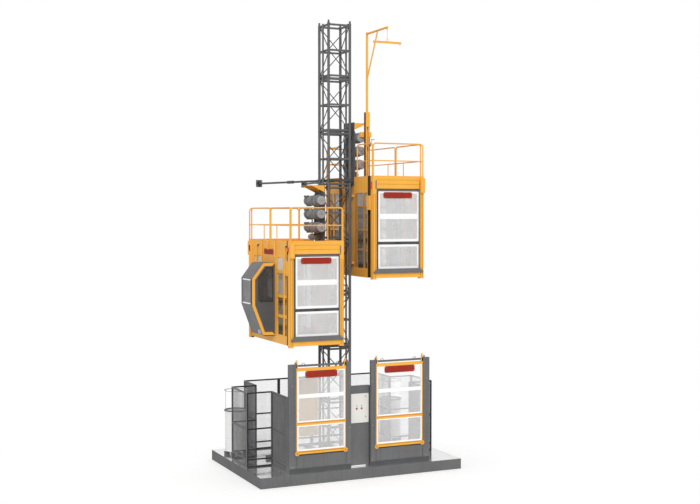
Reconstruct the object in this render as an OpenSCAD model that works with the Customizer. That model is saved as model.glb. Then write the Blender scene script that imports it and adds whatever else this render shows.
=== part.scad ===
// Twin-cage rack-and-pinion material hoist. Millimetres, +Z up.
// Origin: mast axis, on the underside of the foundation slab.
// X runs from the left cage to the right cage, the landing gates face -Y.

/* [Foundation] */
// Length of the slab along X
slab_l = 5970; // [5800:10:6400]
// How far the slab's middle lies to the right of the mast axis
slab_shift = 45; // [0:5:90]
// Slab edge in front of the mast axis
slab_front = 1900; // [1860:10:2100]
// Slab edge behind the mast axis
slab_back = 2180; // [2000:10:2400]
// Slab thickness
slab_t = 285; // [200:5:350]
// Height of the steel ground frame
ground_h = 98; // [80:2:140]

/* [Mast] */
// Spacing of the mast legs, centre to centre
mast_pitch = 650; // [640:2:656]
// Outer diameter of a mast leg
leg_d = 76; // [70:1:80]
// Number of mast sections
section_count = 8; // [8:1:9]
// Thickness of the square lattice bars
lattice_bar = 50; // [40:1:54]
// Diameter of the lattice diagonals
diagonal_d = 28; // [20:1:32]
// Distance of an end bar's middle from the section joint
end_bar_z = 50; // [45:1:70]

/* [Rack and pinion] */
// Gear module
gear_module = 8; // [7.9:0.05:8.1]
// Teeth on the rack of one mast section
rack_teeth = 60; // [60:1:62]
// Teeth on a pinion
pinion_teeth = 15; // [15:1:16]
// Pitch line of the rack, in front of the mast axis along Y
rack_line_y = 20; // [10:1:30]
// Width of a rack along the tooth flank
rack_w = 40; // [36:1:44]
// Depth of a rack behind its pitch line
rack_depth = 45; // [35:1:50]
// Width of a pinion
pinion_w = 34; // [28:1:38]
// Play between meshing flanks
backlash = 0.6; // [0.4:0.1:1]
// Diameter of a pinion shaft
shaft_d = 50; // [44:1:56]
// Height between two drive pinions
drive_pitch = 375; // [365:1:390]
// Height of the lowest drive pinion over the parapet
drive_z = 340; // [320:5:370]
// Diameter of a guide roller at the middle of its groove
roller_d = 75; // [70:1:76]

/* [Cage] */
// Space between a mast leg and the cage
mast_gap = 67; // [66:1:74]
// Width of a cage from its inner to its outer face
cage_w = 1524; // [1500:2:1550]
// Length of a cage, front to back
cage_l = 3178; // [3150:2:3200]
// How far the middle of a cage lies behind the mast axis
cage_shift = 4; // [0:1:10]
// Height of a cage from its feet to the top of the parapet
cage_h = 2830; // [2800:5:2880]
// Height of the front and rear parapet
parapet_h = 350; // [330:5:370]
// Underside of the bottom beam over the cage feet
beam_z0 = 40; // [30:1:60]
// Top of the bottom beam over the cage feet
beam_z1 = 166; // [150:1:180]
// Depth of a wall profile
wall_t = 40; // [36:1:44]
// Width of the front and rear door posts
post_w = 115; // [105:1:120]
// Depth of a corner post
post_l = 131; // [120:1:140]
// Length of the counterweight channel behind a corner post
slot_l = 194; // [184:1:204]
// Height of the left cage's feet over the slab's underside
left_cage_z = 3587; // [2600:1:4000]
// Height of the right cage's feet over the slab's underside
right_cage_z = 5345; // [5000:1:5600]
// Lowest height of a cage's feet over the slab's underside
low_cage_z = 500; // [480:1:560]

/* [Doors] */
// Top of a cage door over the cage feet
door_z1 = 2474; // [2460:1:2478]
// Thickness of a cage door
door_t = 36; // [30:1:38]
// Height of a cage door's counterweight
weight_h = 640; // [500:10:680]
// Width of a cage door's stile
stile_w = 45; // [36:1:54]
// Thickness of the mesh panels
mesh_t = 4; // [3:0.5:6]
// Spacing of the mesh ribs
mesh_step = 170; // [150:5:200]

/* [Operator cab] */
// Width of the cab along Y
cab_w = 872; // [850:2:890]
// Front face of the cab in front of the mast axis
cab_front = 383; // [370:1:395]
// Sheet thickness of the cab
cab_t = 30; // [20:1:36]
// How far the cab stands out from the cage
cab_out = 656; // [620:2:670]
// Height of the cab roof over the cage feet
cab_z1 = 2210; // [2180:2:2230]
// Height of the cab floor over the cage feet
cab_z0 = 248; // [230:1:260]

/* [Roof] */
// Height of the handrail over the parapet
rail_h = 900; // [850:5:1000]
// Height of the middle rail over the parapet
mid_rail_h = 410; // [380:5:450]
// Diameter of the railing tube
rail_d = 38; // [34:1:40]
// Bend radius of the railing corners
rail_r = 90; // [70:1:120]
// Length of a roof hatch
hatch_l = 640; // [560:5:680]

/* [Drive] */
// Height of the drive plate's top over the parapet
plate_z1 = 1530; // [1490:5:1570]
// Thickness of the drive plate
plate_t = 20; // [16:1:24]
// Half width of the drive plate
plate_half = 350; // [320:5:380]
// Diameter of a drive motor
motor_d = 300; // [280:2:320]
// Reach of the rain hood
hood_l = 400; // [350:5:420]

/* [Enclosure] */
// Distance of the side walls from the mast axis
fence_x = 2090; // [2080:2:2120]
// Distance of the back wall from the mast axis
fence_y = 1680; // [1660:2:1720]
// Height of the fence over the slab's underside
fence_z = 2320; // [2250:5:2400]
// Distance of the cab bays from the mast axis
bay_x = 2800; // [2760:5:2840]
// Front of a cab bay in front of the mast axis
bay_y0 = 520; // [500:5:560]
// Back of a cab bay behind the mast axis
bay_y1 = 700; // [660:5:740]
// Width of a fence profile
fence_bar = 40; // [32:1:48]
// Thickness of a fence panel
fence_t = 30; // [24:1:36]

/* [Landing gates] */
// Front face of the gate posts in front of the mast axis
gate_front = 1770; // [1760:1:1780]
// Depth of a gate post
gate_post_l = 100; // [90:1:104]
// Inner edge of the wide gate post, from the mast axis
gate_x1 = 1890; // [1880:2:1900]
// Inner edge of the narrow gate post, from the mast axis
gate_x0 = 444; // [440:1:450]
// Outer edge of the narrow gate post, from the mast axis
mid_panel_x = 300; // [296:1:304]
// Top of the gate posts over the slab's underside
gate_post_z = 3170; // [3150:5:3200]
// Top of a gate leaf's stiles over the slab's underside
gate_z1 = 3280; // [3260:5:3320]
// Top of the sill panel under a gate leaf
sill_z = 750; // [700:5:755]
// Width of a gate leaf's stile
gate_stile = 62; // [50:1:70]
// Height of a gate counterweight
gate_weight_h = 640; // [500:10:700]

/* [Power cabinet] */
// Width of the cabinet
cabinet_w = 560; // [520:2:580]
// Height of the cabinet
cabinet_h = 795; // [760:5:820]
// Underside of the cabinet over the slab's underside
cabinet_z = 1475; // [1440:5:1500]
// Depth of the cabinet
cabinet_l = 200; // [160:5:240]
// Diameter of a stop button's stem
button_d = 22; // [18:1:26]
// Travel of a stop button
button_travel = 6; // [4:0.5:8]

/* [Mast tie] */
// Height of the tie over the slab's underside
tie_z = 8080; // [8060:5:8100]
// Distance of the wall brackets from the mast axis, along Y
tie_y = 4080; // [3900:10:4200]
// Distance of the wall brackets from the mast axis, along X
tie_x = 760; // [700:5:780]
// Diameter of the tie arms
tie_d = 60; // [50:1:66]
// Diameter of the holes in the wall brackets
anchor_d = 22; // [18:1:26]

/* [Jib] */
// Distance of the jib pole from the mast axis, along X
jib_x = 716; // [700:2:740]
// Distance of the jib pole in front of the mast axis
jib_y = 620; // [600:2:650]
// Side of the square jib guide
jib_guide_w = 125; // [115:1:135]
// Diameter of the jib pole
jib_pole_d = 68; // [60:1:72]
// Height of the jib guide over the roof deck
jib_guide_h = 2105; // [2050:5:2200]
// Height of the pole's top over the parapet
jib_top = 4012; // [3970:2:4070]
// Height of the hand winch under the guide's top
winch_drop = 900; // [700:10:1000]
// Height of the guide's cross bracket under its collar
cross_drop = 290; // [200:5:350]
// Reach of the jib arm
jib_reach = 1280; // [1240:5:1320]
// Length of the spreader bar
spreader_l = 820; // [780:5:860]
// Length of rope between the arm and the spreader's ring
rope_l = 235; // [180:5:300]

/* [Buffers and cable drums] */
// Mean diameter of a buffer spring
spring_d = 110; // [100:1:120]
// Wire diameter of a buffer spring
spring_wire = 14; // [12:0.5:16]
// Curls of a buffer spring
spring_curls = 5; // [4:0.5:5.5]
// Radius of a cable drum
drum_r = 310; // [280:5:330]
// Height of a cable drum
drum_h = 1170; // [1100:10:1250]

/* [Hidden] */
$fn = 48;
// Running fit of a shaft, and the seam between pieces bolted together
fit = 0.05;
seam = 0.3;
// Overshoot of a cut past the face that it opens
over = 5;
sheet_t = 6;
hinge_pin_d = 8;
knuckle_d = 14;
knuckle_l = 70;
ear_t = 8;

// Mast and rack
mast_half = mast_pitch / 2;
leg_out = mast_half + leg_d / 2;
tooth_pitch = PI * gear_module;
section_h = tooth_pitch * rack_teeth;
mast_foot = slab_t + ground_h;
bar_inset = 15;
bar_line = mast_half - bar_inset;
rack_x0 = bar_line + lattice_bar / 2;
addendum = 0.85 * gear_module;
dedendum = 1.15 * gear_module;
pressure_angle = 20;
pinion_r = gear_module * pinion_teeth / 2;
pinion_y = rack_line_y + pinion_r;
pinion_x0 = rack_x0 + (rack_w - pinion_w) / 2 + 1;
lug_d = 46;
lug_h = 55;
lug_in = leg_d / 2 + 8;
bolt_d = 26;
spigot_h = 70;

// Cage, drawn for the right side: X from the mast axis, Z from the cage feet
cage_x0 = leg_out + mast_gap;
cage_x1 = cage_x0 + cage_w;
cage_xm = (cage_x0 + cage_x1) / 2;
cage_y0 = cage_shift - cage_l / 2;
post_out = 46;
header_z = cage_h - parapet_h;
side_y0 = cage_y0 + post_l + slot_l;
bay0 = -cab_front;
bay1 = cab_w - cab_front;
col_y1 = side_y0 + 197;
col_y2 = col_y1 + 81;
col_y3 = min(bay0, 2 * cage_shift - bay1) - 99;
wall_rows = [290, 779, 1322, 1976, 2373];
row_bar = 40;
weight_t = 60;
weight_gap = 8;
channel_t = 12;
door_gap = 5;
shoe_h = 110;
shoe_in = 15;
groove_in = 20;
door_y0 = cage_y0 + wall_t + door_gap;
door_x0 = cage_x0 + post_w + door_gap;
door_x1 = cage_x1 + post_out - post_w - door_gap;
door_z0 = beam_z1;
deck_y0 = door_y0 + door_t + door_gap * 2;
deck_y1 = 2 * cage_shift - deck_y0;
deck_z = header_z;
deck_t = 40;
floor_t = 6;
joist_h = 90;
joist_w = 60;
striker_w = 180;
drive_x0 = cage_x0 + 10;
drive_x1 = drive_x0 + plate_t;
drive_foot = cage_h + drive_z;
pinion_z = [drive_foot, drive_foot + drive_pitch, drive_foot + 2 * drive_pitch];
plate_top = cage_h + plate_z1;
plate_z0 = cage_h - 240;
flange_l = 26;
governor_z = drive_foot - drive_pitch * 0.7;
roller_r = roller_d / 2;
roller_x = leg_out + seam + roller_r;
roller_w = 50;
roller_z = [420, 2300];
pin_d = 20;
bay_wall_x = cage_x0 + 30;

// Cab profile as distance from the cage's outer face and height over the feet
cab_mid = cab_out - 320;
cab_profile = [
    [0, cab_z0], [cab_mid + 10, cab_z0], [cab_out, cab_z0 + 872], [cab_out, cab_z1 - 420],
    [cab_mid, cab_z1], [0, cab_z1]
];
cab_rib = 60;

// Fence, gates and cabinet
fence_rows = [slab_t, slab_t + 190, slab_t + 1015, fence_z];
mid_panel_y = -1600;
mid_panel_z = 2490;
leaf_gap = 6;
leaf_x0 = gate_x0 + leaf_gap;
leaf_x1 = gate_x1 - leaf_gap;
leaf_t = 40;
leaf_y = -gate_front + 10;
gate_bars = [
    [sill_z + 10, sill_z + 100], [sill_z + 800, sill_z + 880], [gate_z1 - 290, gate_z1 - 210]
];
gate_rails = [[1521, 1549], [2266, 2374]];
post_wall = 6;
cabinet_wall = 4;
cabinet_door_t = 16;
lamp_d = 28;
lamp_z = 1940;
button_z = 1863;
button_x = 72;

// Jib, with heights over the right cage's feet
jib_deck = deck_z + deck_t;
guide_top = jib_deck + jib_guide_h;
collar_h = 400;
collar_z = guide_top - collar_h;
jib_foot = collar_z + 12;
slot_w = 55;
arm_d = 58;
brace_d = 40;
rope_d = 10;
ring_r = 34;
ring_d = 12;
spreader_h = 50;
winch_r = 45;
winch_w = 80;
winch_out = 60;
winch_z = guide_top - winch_drop;
pole_top = cage_h + jib_top;
cross_l = 340;
cross_h = 140;
cross_t = 50;

// Places and plain solids

module span(x, y, z) {
    translate([x[0], y[0], z[0]]) cube([x[1] - x[0], y[1] - y[0], z[1] - z[0]]);
}

// Draws a right-hand piece on the left
module on_left() {
    mirror([1, 0, 0]) children();
}

module on_both() {
    children();
    on_left() children();
}

module at_left_cage() {
    translate([0, 0, left_cage_z]) on_left() children();
}

module at_right_cage() {
    translate([0, 0, right_cage_z]) children();
}

// Draws a front piece of a cage at its rear
module at_rear() {
    translate([0, 2 * cage_shift, 0]) mirror([0, 1, 0]) children();
}

module at_both_ends() {
    children();
    at_rear() children();
}

// Extrudes an outline drawn in Y and Z along X, from x0
module along_x(x0, length) {
    translate([x0, 0, 0]) rotate([90, 0, 90]) linear_extrude(length) children();
}

// Extrudes an outline drawn in X and Z along Y, from y0
module along_y(y0, length) {
    translate([0, y0 + length, 0]) rotate([90, 0, 0]) linear_extrude(length) children();
}

module rect(a, b) {
    translate([a[0], b[0]]) square([a[1] - a[0], b[1] - b[0]]);
}

module rod_x(x0, length, d, sides = $fn) {
    translate([x0, 0, 0]) rotate([0, 90, 0]) cylinder(h = length, d = d, $fn = sides);
}

module rod_y(y0, length, d, sides = $fn) {
    translate([0, y0 + length, 0]) rotate([90, 0, 0]) cylinder(h = length, d = d, $fn = sides);
}

// A straight tube between two points
module strut(a, b, d, sides = $fn) {
    v = b - a;
    l = norm(v);
    turn = atan2(v[1], v[0]);
    tilt = acos(v[2] / l);
    translate(a) rotate([0, tilt, turn]) cylinder(h = l, d = d, $fn = sides);
}

// A flat net that fills the outline between a and b, with ribs about one step apart
module net(a, b, step = mesh_step, rib = 6) {
    na = max(1, round((a[1] - a[0]) / step));
    nb = max(1, round((b[1] - b[0]) / step));
    wa = (a[1] - a[0] - (na + 1) * rib) / na;
    wb = (b[1] - b[0] - (nb + 1) * rib) / nb;
    difference() {
        rect(a, b);
        for (i = [0 : na - 1]) for (j = [0 : nb - 1])
            translate([a[0] + rib + i * (wa + rib), b[0] + rib + j * (wb + rib)]) square([wa, wb]);
    }
}

// Hinges, drawn along Z from the knuckle's lower end. The moving leaf's plate fills plate_x and
// plate_y, and the fixed ears fill ear_x and ear_y.

module hinge_knuckle(plate_x, plate_y) {
    difference() {
        union() {
            cylinder(h = knuckle_l, d = knuckle_d);
            span(plate_x, plate_y, [0, knuckle_l]);
        }
        translate([0, 0, -over]) cylinder(h = knuckle_l + 2 * over, d = hinge_pin_d + 2 * fit);
    }
}

module hinge_ears(ear_x, ear_y) {
    for (z = [-ear_t - seam, knuckle_l + seam]) span(ear_x, ear_y, [z, z + ear_t]);
    translate([0, 0, -ear_t]) cylinder(h = knuckle_l + 2 * ear_t, d = hinge_pin_d);
}

// Foundation, ground frame and mast

module foundation_slab() {
    color("dimgray")
        span([slab_shift - slab_l / 2, slab_shift + slab_l / 2], [-slab_front, slab_back], [0, slab_t]);
}

ground_y = 1400;
buffer_y = 800;
beam_w = 90;

module ground_beams() {
    for (y = [-mast_half, mast_half])
        span([-cage_x1, cage_x1], [y - beam_w / 2, y + beam_w / 2], [slab_t, mast_foot]);
    inner = mast_half - beam_w / 2 - seam;
    outer = mast_half + beam_w / 2 + seam;
    for (x = [-cage_xm, -mast_half, mast_half, cage_xm])
        for (y = [[-ground_y, -outer], [-inner, inner], [outer, ground_y]])
            span([x - beam_w / 2, x + beam_w / 2], y, [slab_t, mast_foot]);
}

anchor_y = 1250;
anchor_h = 22;
anchor_head = 36;

module base_frame() {
    color("#4f5051") {
        ground_beams();
        for (x = [-cage_xm, cage_xm]) for (y = [-anchor_y, -mast_half, mast_half, anchor_y])
            translate([x, y, mast_foot - over]) cylinder(h = anchor_h + over, d = anchor_head, $fn = 6);
        for (x = [-cage_xm, cage_xm]) for (y = [-buffer_y, buffer_y])
            translate([x, y, mast_foot - over]) cylinder(h = seat_h + over, d = spring_d + spring_wire + 30);
    }
}

// Buffer springs: each is one wound tube with cut ends, under a round cap
seat_h = 12;
cap_h = 14;
spring_z0 = mast_foot + seat_h;
spring_z1 = low_cage_z + beam_z0 - cap_h;
spring_sides = 6;
spring_rings = 8;

function spring_point(t, r) =
    let (rise = spring_z1 - spring_z0 - spring_wire - 2 * seam)
    [
        r * cos(360 * spring_curls * t),
        r * sin(360 * spring_curls * t),
        spring_z0 + seam + spring_wire / 2 + rise * t
    ];

function spring_ring(t) =
    [for (k = [0 : spring_sides - 1])
        let (a = 360 * (k + 0.5) / spring_sides)
        spring_point(t, spring_d / 2 + spring_wire / 2 * cos(a))
        + [0, 0, spring_wire / 2 * sin(a)]];

module spring_coil() {
    rings = round(spring_curls * spring_rings);
    points = [for (i = [0 : rings]) each spring_ring(i / rings)];
    last = rings * spring_sides;
    sides = [for (i = [0 : rings - 1]) for (k = [0 : spring_sides - 1])
        let (
            a = i * spring_sides + k,
            b = i * spring_sides + (k + 1) % spring_sides,
            c = b + spring_sides,
            d = a + spring_sides
        )
        each [[a, b, c], [a, c, d]]];
    start = [for (k = [1 : spring_sides - 2]) [0, k + 1, k]];
    end = [for (k = [1 : spring_sides - 2]) [last, last + k, last + k + 1]];
    polyhedron(points = points, faces = [each sides, each start, each end]);
}

curl_rise = (spring_z1 - spring_z0 - spring_wire - 2 * seam) / spring_curls;
echo(str("least gap between the curls of a buffer spring: ", curl_rise - spring_wire, " mm"));

module buffer_springs() {
    color("#3a3b3c")
        for (x = [-cage_xm, cage_xm]) for (y = [-buffer_y, buffer_y]) translate([x, y, 0]) {
            spring_coil();
            translate([0, 0, spring_z1])
                cylinder(h = cap_h - seam, d = spring_d + spring_wire + 20);
        }
}

module lattice_face(tall) {
    // One face of a section, between the legs at -mast_half and mast_half along X
    for (z = [end_bar_z, tall / 2, tall - end_bar_z])
        translate([0, 0, z])
            cube([mast_pitch, lattice_bar, lattice_bar], center = true);
    for (end = [0, 1]) {
        z0 = end == 0 ? end_bar_z : tall - end_bar_z;
        strut([mast_half, 0, z0], [-mast_half, 0, tall / 2], diagonal_d, 8);
    }
}

module mast_leg(x, y, tall, last) {
    translate([x, y, 0]) {
        cylinder(h = tall, d = leg_d);
        if (last) translate([0, 0, tall - over]) cylinder(h = spigot_h + over, d = leg_d * 0.7);
        for (z = [0, tall - lug_h])
            translate([-sign(x) * lug_in, -sign(y) * lug_in, z]) cylinder(h = lug_h, d = lug_d);
    }
}

module mast_section(last) {
    tall = section_h - seam;
    difference() {
        union() {
            for (x = [-mast_half, mast_half]) for (y = [-mast_half, mast_half])
                mast_leg(x, y, tall, last);
            translate([0, -bar_line, 0]) lattice_face(tall);
            translate([0, bar_line, 0]) mirror([1, 0, 0]) lattice_face(tall);
            translate([bar_line, 0, 0]) rotate([0, 0, -90]) lattice_face(tall);
            translate([-bar_line, 0, 0]) rotate([0, 0, 90]) lattice_face(tall);
        }
        for (x = [-1, 1]) for (y = [-1, 1])
            translate([x * (mast_half - lug_in), y * (mast_half - lug_in), -over])
                cylinder(h = tall + 2 * over, d = bolt_d);
    }
}

module mast_sections() {
    color("#5d5d5e")
        for (i = [0 : section_count - 1])
            translate([0, 0, mast_foot + i * section_h]) mast_section(i == section_count - 1);
}

// The rack's outline in Y and Z over one mast section, teeth towards +Y
module rack_outline() {
    half = tooth_pitch / 4 - backlash / 4;
    tip = half - addendum * tan(pressure_angle);
    root = half + dedendum * tan(pressure_angle);
    polygon([
        [-rack_depth, seam],
        for (i = [0 : rack_teeth - 1])
            let (z = (i + 0.5) * tooth_pitch)
            each [[-dedendum, z - root], [addendum, z - tip], [addendum, z + tip], [-dedendum, z + root]],
        [-rack_depth, section_h - seam]
    ]);
}

module mast_racks() {
    color("#6f7072")
        on_both() for (i = [0 : section_count - 1])
            translate([0, rack_line_y, mast_foot + i * section_h])
                along_x(rack_x0, rack_w) rack_outline();
}

// Mast tie
tie_bar = 60;
tie_reach = mast_half + 30;
tie_post = 140;
tie_y0 = leg_out + seam;
clevis_w = 90;
clevis_t = 12;
clevis_back = 10;
clevis_half = tie_d / 2 + seam + clevis_t;
bracket_w = 200;
bracket_t = 16;
bracket_h = 220;
anchor_dx = 140;
anchor_dz = 150;
coupling_at = 0.45;
coupling_l = 320;

module tie_bracket() {
    translate([tie_x, tie_y, tie_z]) difference() {
        union() {
            span([-bracket_w / 2, bracket_w / 2], [0, bracket_t], [-bracket_h / 2, bracket_h / 2]);
            for (z = [-clevis_half, clevis_half - clevis_t])
                span([-clevis_w / 2, clevis_w / 2], [-clevis_w, over], [z, z + clevis_t]);
        }
        for (x = [-1, 1]) for (z = [-1, 1])
            translate([x * anchor_dx / 2, 0, z * anchor_dz / 2]) rod_y(-over, bracket_t + 2 * over, anchor_d);
    }
}

module mast_tie() {
    from = [tie_post, tie_y0 + tie_bar + clevis_w * 0.5, tie_z];
    to = [tie_x, tie_y - clevis_w * 0.4, tie_z];
    mid = from + (to - from) * coupling_at;
    step = (to - from) / norm(to - from) * coupling_l;
    color("#58595b") {
        for (y = [-tie_y0 - tie_bar, tie_y0])
            span([-tie_reach, tie_reach], [y, y + tie_bar], [tie_z - tie_bar / 2, tie_z + tie_bar / 2]);
        on_both()
            span([tie_post - tie_bar / 2, tie_post + tie_bar / 2],
                [-tie_y0 - over, tie_y0 + over], [tie_z - tie_bar / 2, tie_z + tie_bar / 2]);
        on_both() {
            translate([tie_post, tie_y0 + tie_bar, tie_z]) {
                span([-clevis_w / 2, clevis_w / 2], [-1, clevis_back], [-clevis_half, clevis_half]);
                for (z = [-clevis_half, clevis_half - clevis_t])
                    span([-clevis_w / 2, clevis_w / 2], [0, clevis_w], [z, z + clevis_t]);
            }
            strut(from, to, tie_d, 12);
            strut(mid, mid + step, tie_d * 1.5, 12);
            tie_bracket();
        }
    }
}

// Enclosure: flat framed panels with a net in each window

// A fence panel's outline over the run a, with windows between its rails
module fence_outline(a) {
    difference() {
        rect(a, [slab_t, fence_z]);
        for (i = [0 : len(fence_rows) - 2])
            rect([a[0] + fence_bar, a[1] - fence_bar],
                [fence_rows[i] + fence_bar, fence_rows[i + 1] - (i == len(fence_rows) - 2 ? fence_bar : 0)]);
    }
}

module fence_net(a) {
    for (i = [0 : len(fence_rows) - 2])
        net([a[0] + fence_bar + seam, a[1] - fence_bar - seam],
            [fence_rows[i] + fence_bar + seam,
                fence_rows[i + 1] - (i == len(fence_rows) - 2 ? fence_bar : 0) - seam],
            mesh_step * 1.6);
}

fence_y0 = -gate_front + gate_post_l + seam;
fence_runs_y = [
    [fence_x, [fence_y0, -bay_y0 - fence_t - seam]],
    [bay_x, [-bay_y0 + seam, bay_y1]],
    [fence_x, [bay_y1 + fence_t + 2 * seam, fence_y]]
];
fence_runs_x = [
    [-bay_y0 - fence_t, [fence_x, bay_x + fence_t]],
    [bay_y1 + seam, [fence_x, bay_x + fence_t]],
    [fence_y + seam, [seam, fence_x / 2]],
    [fence_y + seam, [fence_x / 2 + seam, fence_x + fence_t]]
];

board_x = [-400, 200];
board_z = [550, 2270];

module gate_post(x0, x1) {
    // A channel that is open to the back, where the counterweight runs
    difference() {
        span([x0, x1], [-gate_front, -gate_front + gate_post_l], [slab_t, gate_post_z]);
        span([x0 + post_wall, x1 - post_wall], [-gate_front + post_wall, -gate_front + gate_post_l + over],
            [slab_t + post_wall, gate_post_z - post_wall]);
    }
}

gate_bar_y = -gate_front + gate_post_l - 40;

module landing_portal() {
    gate_post(gate_x1, fence_x);
    gate_post(mid_panel_x + seam, gate_x0);
    span([gate_x0 + seam, gate_x1 - seam], [gate_bar_y, gate_bar_y + 30],
        [gate_post_z - 50, gate_post_z - 20]);
    span([gate_x0 + seam, gate_x1 - seam], [-gate_front + 10, -gate_front + 50], [slab_t, sill_z]);
}

// Two posts with a sheet under the cabinet and one over it
module mid_panel() {
    half = cabinet_w / 2 + seam;
    y = [mid_panel_y - fence_t / 2, mid_panel_y + fence_t / 2];
    on_both() span([half, mid_panel_x], y, [slab_t, mid_panel_z]);
    span([seam - half, half - seam], y, [slab_t, cabinet_z - seam]);
    span([seam - half, half - seam], y, [cabinet_z + cabinet_h + seam, mid_panel_z]);
}

module enclosure_frame() {
    color("#68696c") {
        on_both() {
            for (run = fence_runs_y) along_x(run[0], fence_t) fence_outline(run[1]);
            for (run = fence_runs_x) along_y(run[0], fence_t) fence_outline(run[1]);
            landing_portal();
        }
        mid_panel();
    }
    color("tan")
        span(board_x, [fence_y - sheet_t - seam, fence_y], board_z);
}

module enclosure_mesh() {
    shift = (fence_t - mesh_t) / 2;
    color("#c9cacb")
        on_both() {
            for (run = fence_runs_y) along_x(run[0] + shift, mesh_t) fence_net(run[1]);
            for (run = fence_runs_x) along_y(run[0] + shift, mesh_t) fence_net(run[1]);
        }
}

drum_y = 1400;
drum_wall = 6;
drum_x = fence_x + fence_t + drum_r + 40;
drum_foot = 95;
drum_rim = 25;
drum_rim_h = 60;
guide_z = 2110;
stave_turn = 15;

// A ring of staves, each bent from a strip with the profile given, with joints at the inner radius r
module in_staves(r) {
    joint = seam / r * 180 / PI;
    for (a = [0 : stave_turn : 360 - stave_turn]) rotate([0, 0, a + (joint - stave_turn) / 2])
        rotate_extrude(angle = stave_turn - joint) children();
}

module cable_drum() {
    inner = drum_r - drum_wall;
    z0 = drum_wall + seam;
    translate([drum_x, drum_y, slab_t]) {
        for (a = [0 : 90 : 270]) rotate([0, 0, a])
            span([drum_r - 110, drum_r + 30], [-50, 50], [0, drum_foot - seam]);
        translate([0, 0, drum_foot]) {
            cylinder(h = drum_wall, r = drum_r);
            in_staves(inner) polygon([
                [inner, z0], [drum_r, z0], [drum_r, drum_h - drum_rim_h],
                [drum_r + drum_rim, drum_h - drum_rim_h], [drum_r + drum_rim, drum_h], [inner, drum_h]
            ]);
        }
        for (a = [45, 225]) rotate([0, 0, a])
            translate([drum_r + drum_rim - 14, 0, drum_foot + drum_h + seam])
                cylinder(h = guide_z - slab_t - drum_foot - drum_h - seam, d = 14);
        translate([0, 0, guide_z - slab_t - 7]) in_staves(inner)
            translate([drum_r + drum_rim - 14, 0]) square([20, 16], center = true);
    }
}

module cable_drums() {
    color("#d8d9d6") on_both() cable_drum();
}

// Power cabinet with its door and stop buttons

cabinet_y0 = mid_panel_y - fence_t / 2 - 10;
door_face = cabinet_y0 - seam - cabinet_door_t;
hinge_x = -cabinet_w / 2 - 5;
hinge_y = cabinet_y0 - cabinet_door_t / 2;
hinge_rows = [cabinet_z + 120, cabinet_z + cabinet_h - 120 - knuckle_l];

module cabinet_box() {
    half = cabinet_w / 2;
    z0 = cabinet_z;
    z1 = cabinet_z + cabinet_h;
    y1 = cabinet_y0 + cabinet_l;
    color("#e4e4dc") {
        span([-half, half], [y1 - cabinet_wall, y1], [z0, z1]);
        on_both()
            span([half - cabinet_wall, half], [cabinet_y0, y1 - cabinet_wall - seam], [z0, z1]);
        for (z = [z0, z1 - cabinet_wall])
            span([cabinet_wall + seam - half, half - cabinet_wall - seam],
                [cabinet_y0, y1 - cabinet_wall - seam], [z, z + cabinet_wall]);
        for (z = hinge_rows) translate([hinge_x, hinge_y, z]) {
            back = mid_panel_y - fence_t / 2 - hinge_y - seam;
            hinge_ears([-8, 0], [-5, back]);
            for (z = [-ear_t - seam, knuckle_l + seam])
                span([-8, -half - hinge_x + 1], [cabinet_y0 - hinge_y + 1, back], [z, z + ear_t]);
        }
        for (z = [z0 + 140, z0 + 340, z0 + 540])
            span([-half + 70, half - 70], [y1 - cabinet_wall - 60, y1 - cabinet_wall - seam], [z, z + 90]);
    }
}

module cabinet_door() {
    half = cabinet_w / 2;
    color("#e9e9e1") difference() {
        union() {
            span([-half, half], [door_face, door_face + cabinet_door_t], [cabinet_z, cabinet_z + cabinet_h]);
            for (x = [-button_x, button_x])
                translate([x, 0, lamp_z]) rod_y(door_face - 12, 12 + over, lamp_d);
            for (z = [cabinet_z + 160, cabinet_z + cabinet_h - 80])
                translate([half - 90, 0, z]) rod_y(door_face - 8, 8 + over, lamp_d);
        }
        for (x = [-button_x, button_x]) translate([x, 0, button_z])
            rod_y(door_face - over, cabinet_door_t + 2 * over, button_d + 2 * fit);
    }
    color("#e9e9e1") for (z = hinge_rows) translate([hinge_x, hinge_y, z]) hinge_knuckle([0, 10], [-6, 6]);
}

button_head_d = 40;
button_head_l = 14;

module stop_button(x) {
    head = door_face - button_travel - 1;
    color("firebrick") translate([x, 0, button_z]) {
        rod_y(head - button_head_l, button_head_l, button_head_d);
        rod_y(head - 1, button_travel + cabinet_door_t + 8, button_d);
    }
}

// Landing gates

module gate_leaf() {
    x = [leaf_x0, leaf_x1];
    inner = [leaf_x0 + gate_stile, leaf_x1 - gate_stile];
    y1 = leaf_y + leaf_t;
    top = gate_bars[2][1];
    span([leaf_x0, inner[0]], [leaf_y, y1], [gate_bars[0][0], gate_z1]);
    span([inner[1], leaf_x1], [leaf_y, y1], [gate_bars[0][0], gate_z1]);
    for (bar = gate_bars) span(x, [leaf_y, y1], bar);
    for (bar = gate_rails) span(x, [leaf_y + 5, y1 - 5], bar);
    for (z = [gate_bars[0][0] + 20, gate_z1 - 400]) {
        span([gate_x0 + seam, leaf_x0 + 1], [leaf_y, y1], [z, z + shoe_h]);
        span([leaf_x1 - 1, gate_x1 - seam], [leaf_y, y1], [z, z + shoe_h]);
    }
    for (end = x) translate([end == x[0] ? leaf_x0 + 60 : leaf_x1 - 60, 0, sill_z + 60])
        rod_y(leaf_y - 12, 12 + over, 50);
    along_y(leaf_y + leaf_t / 2, mesh_t)
        net([leaf_x0 + over, leaf_x1 - over], [gate_bars[0][0] + over, top - over]);
}

module gate_left() {
    color("#f5b04a") on_left() gate_leaf();
}

module gate_right() {
    color("#f5b04a") gate_leaf();
}

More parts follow.
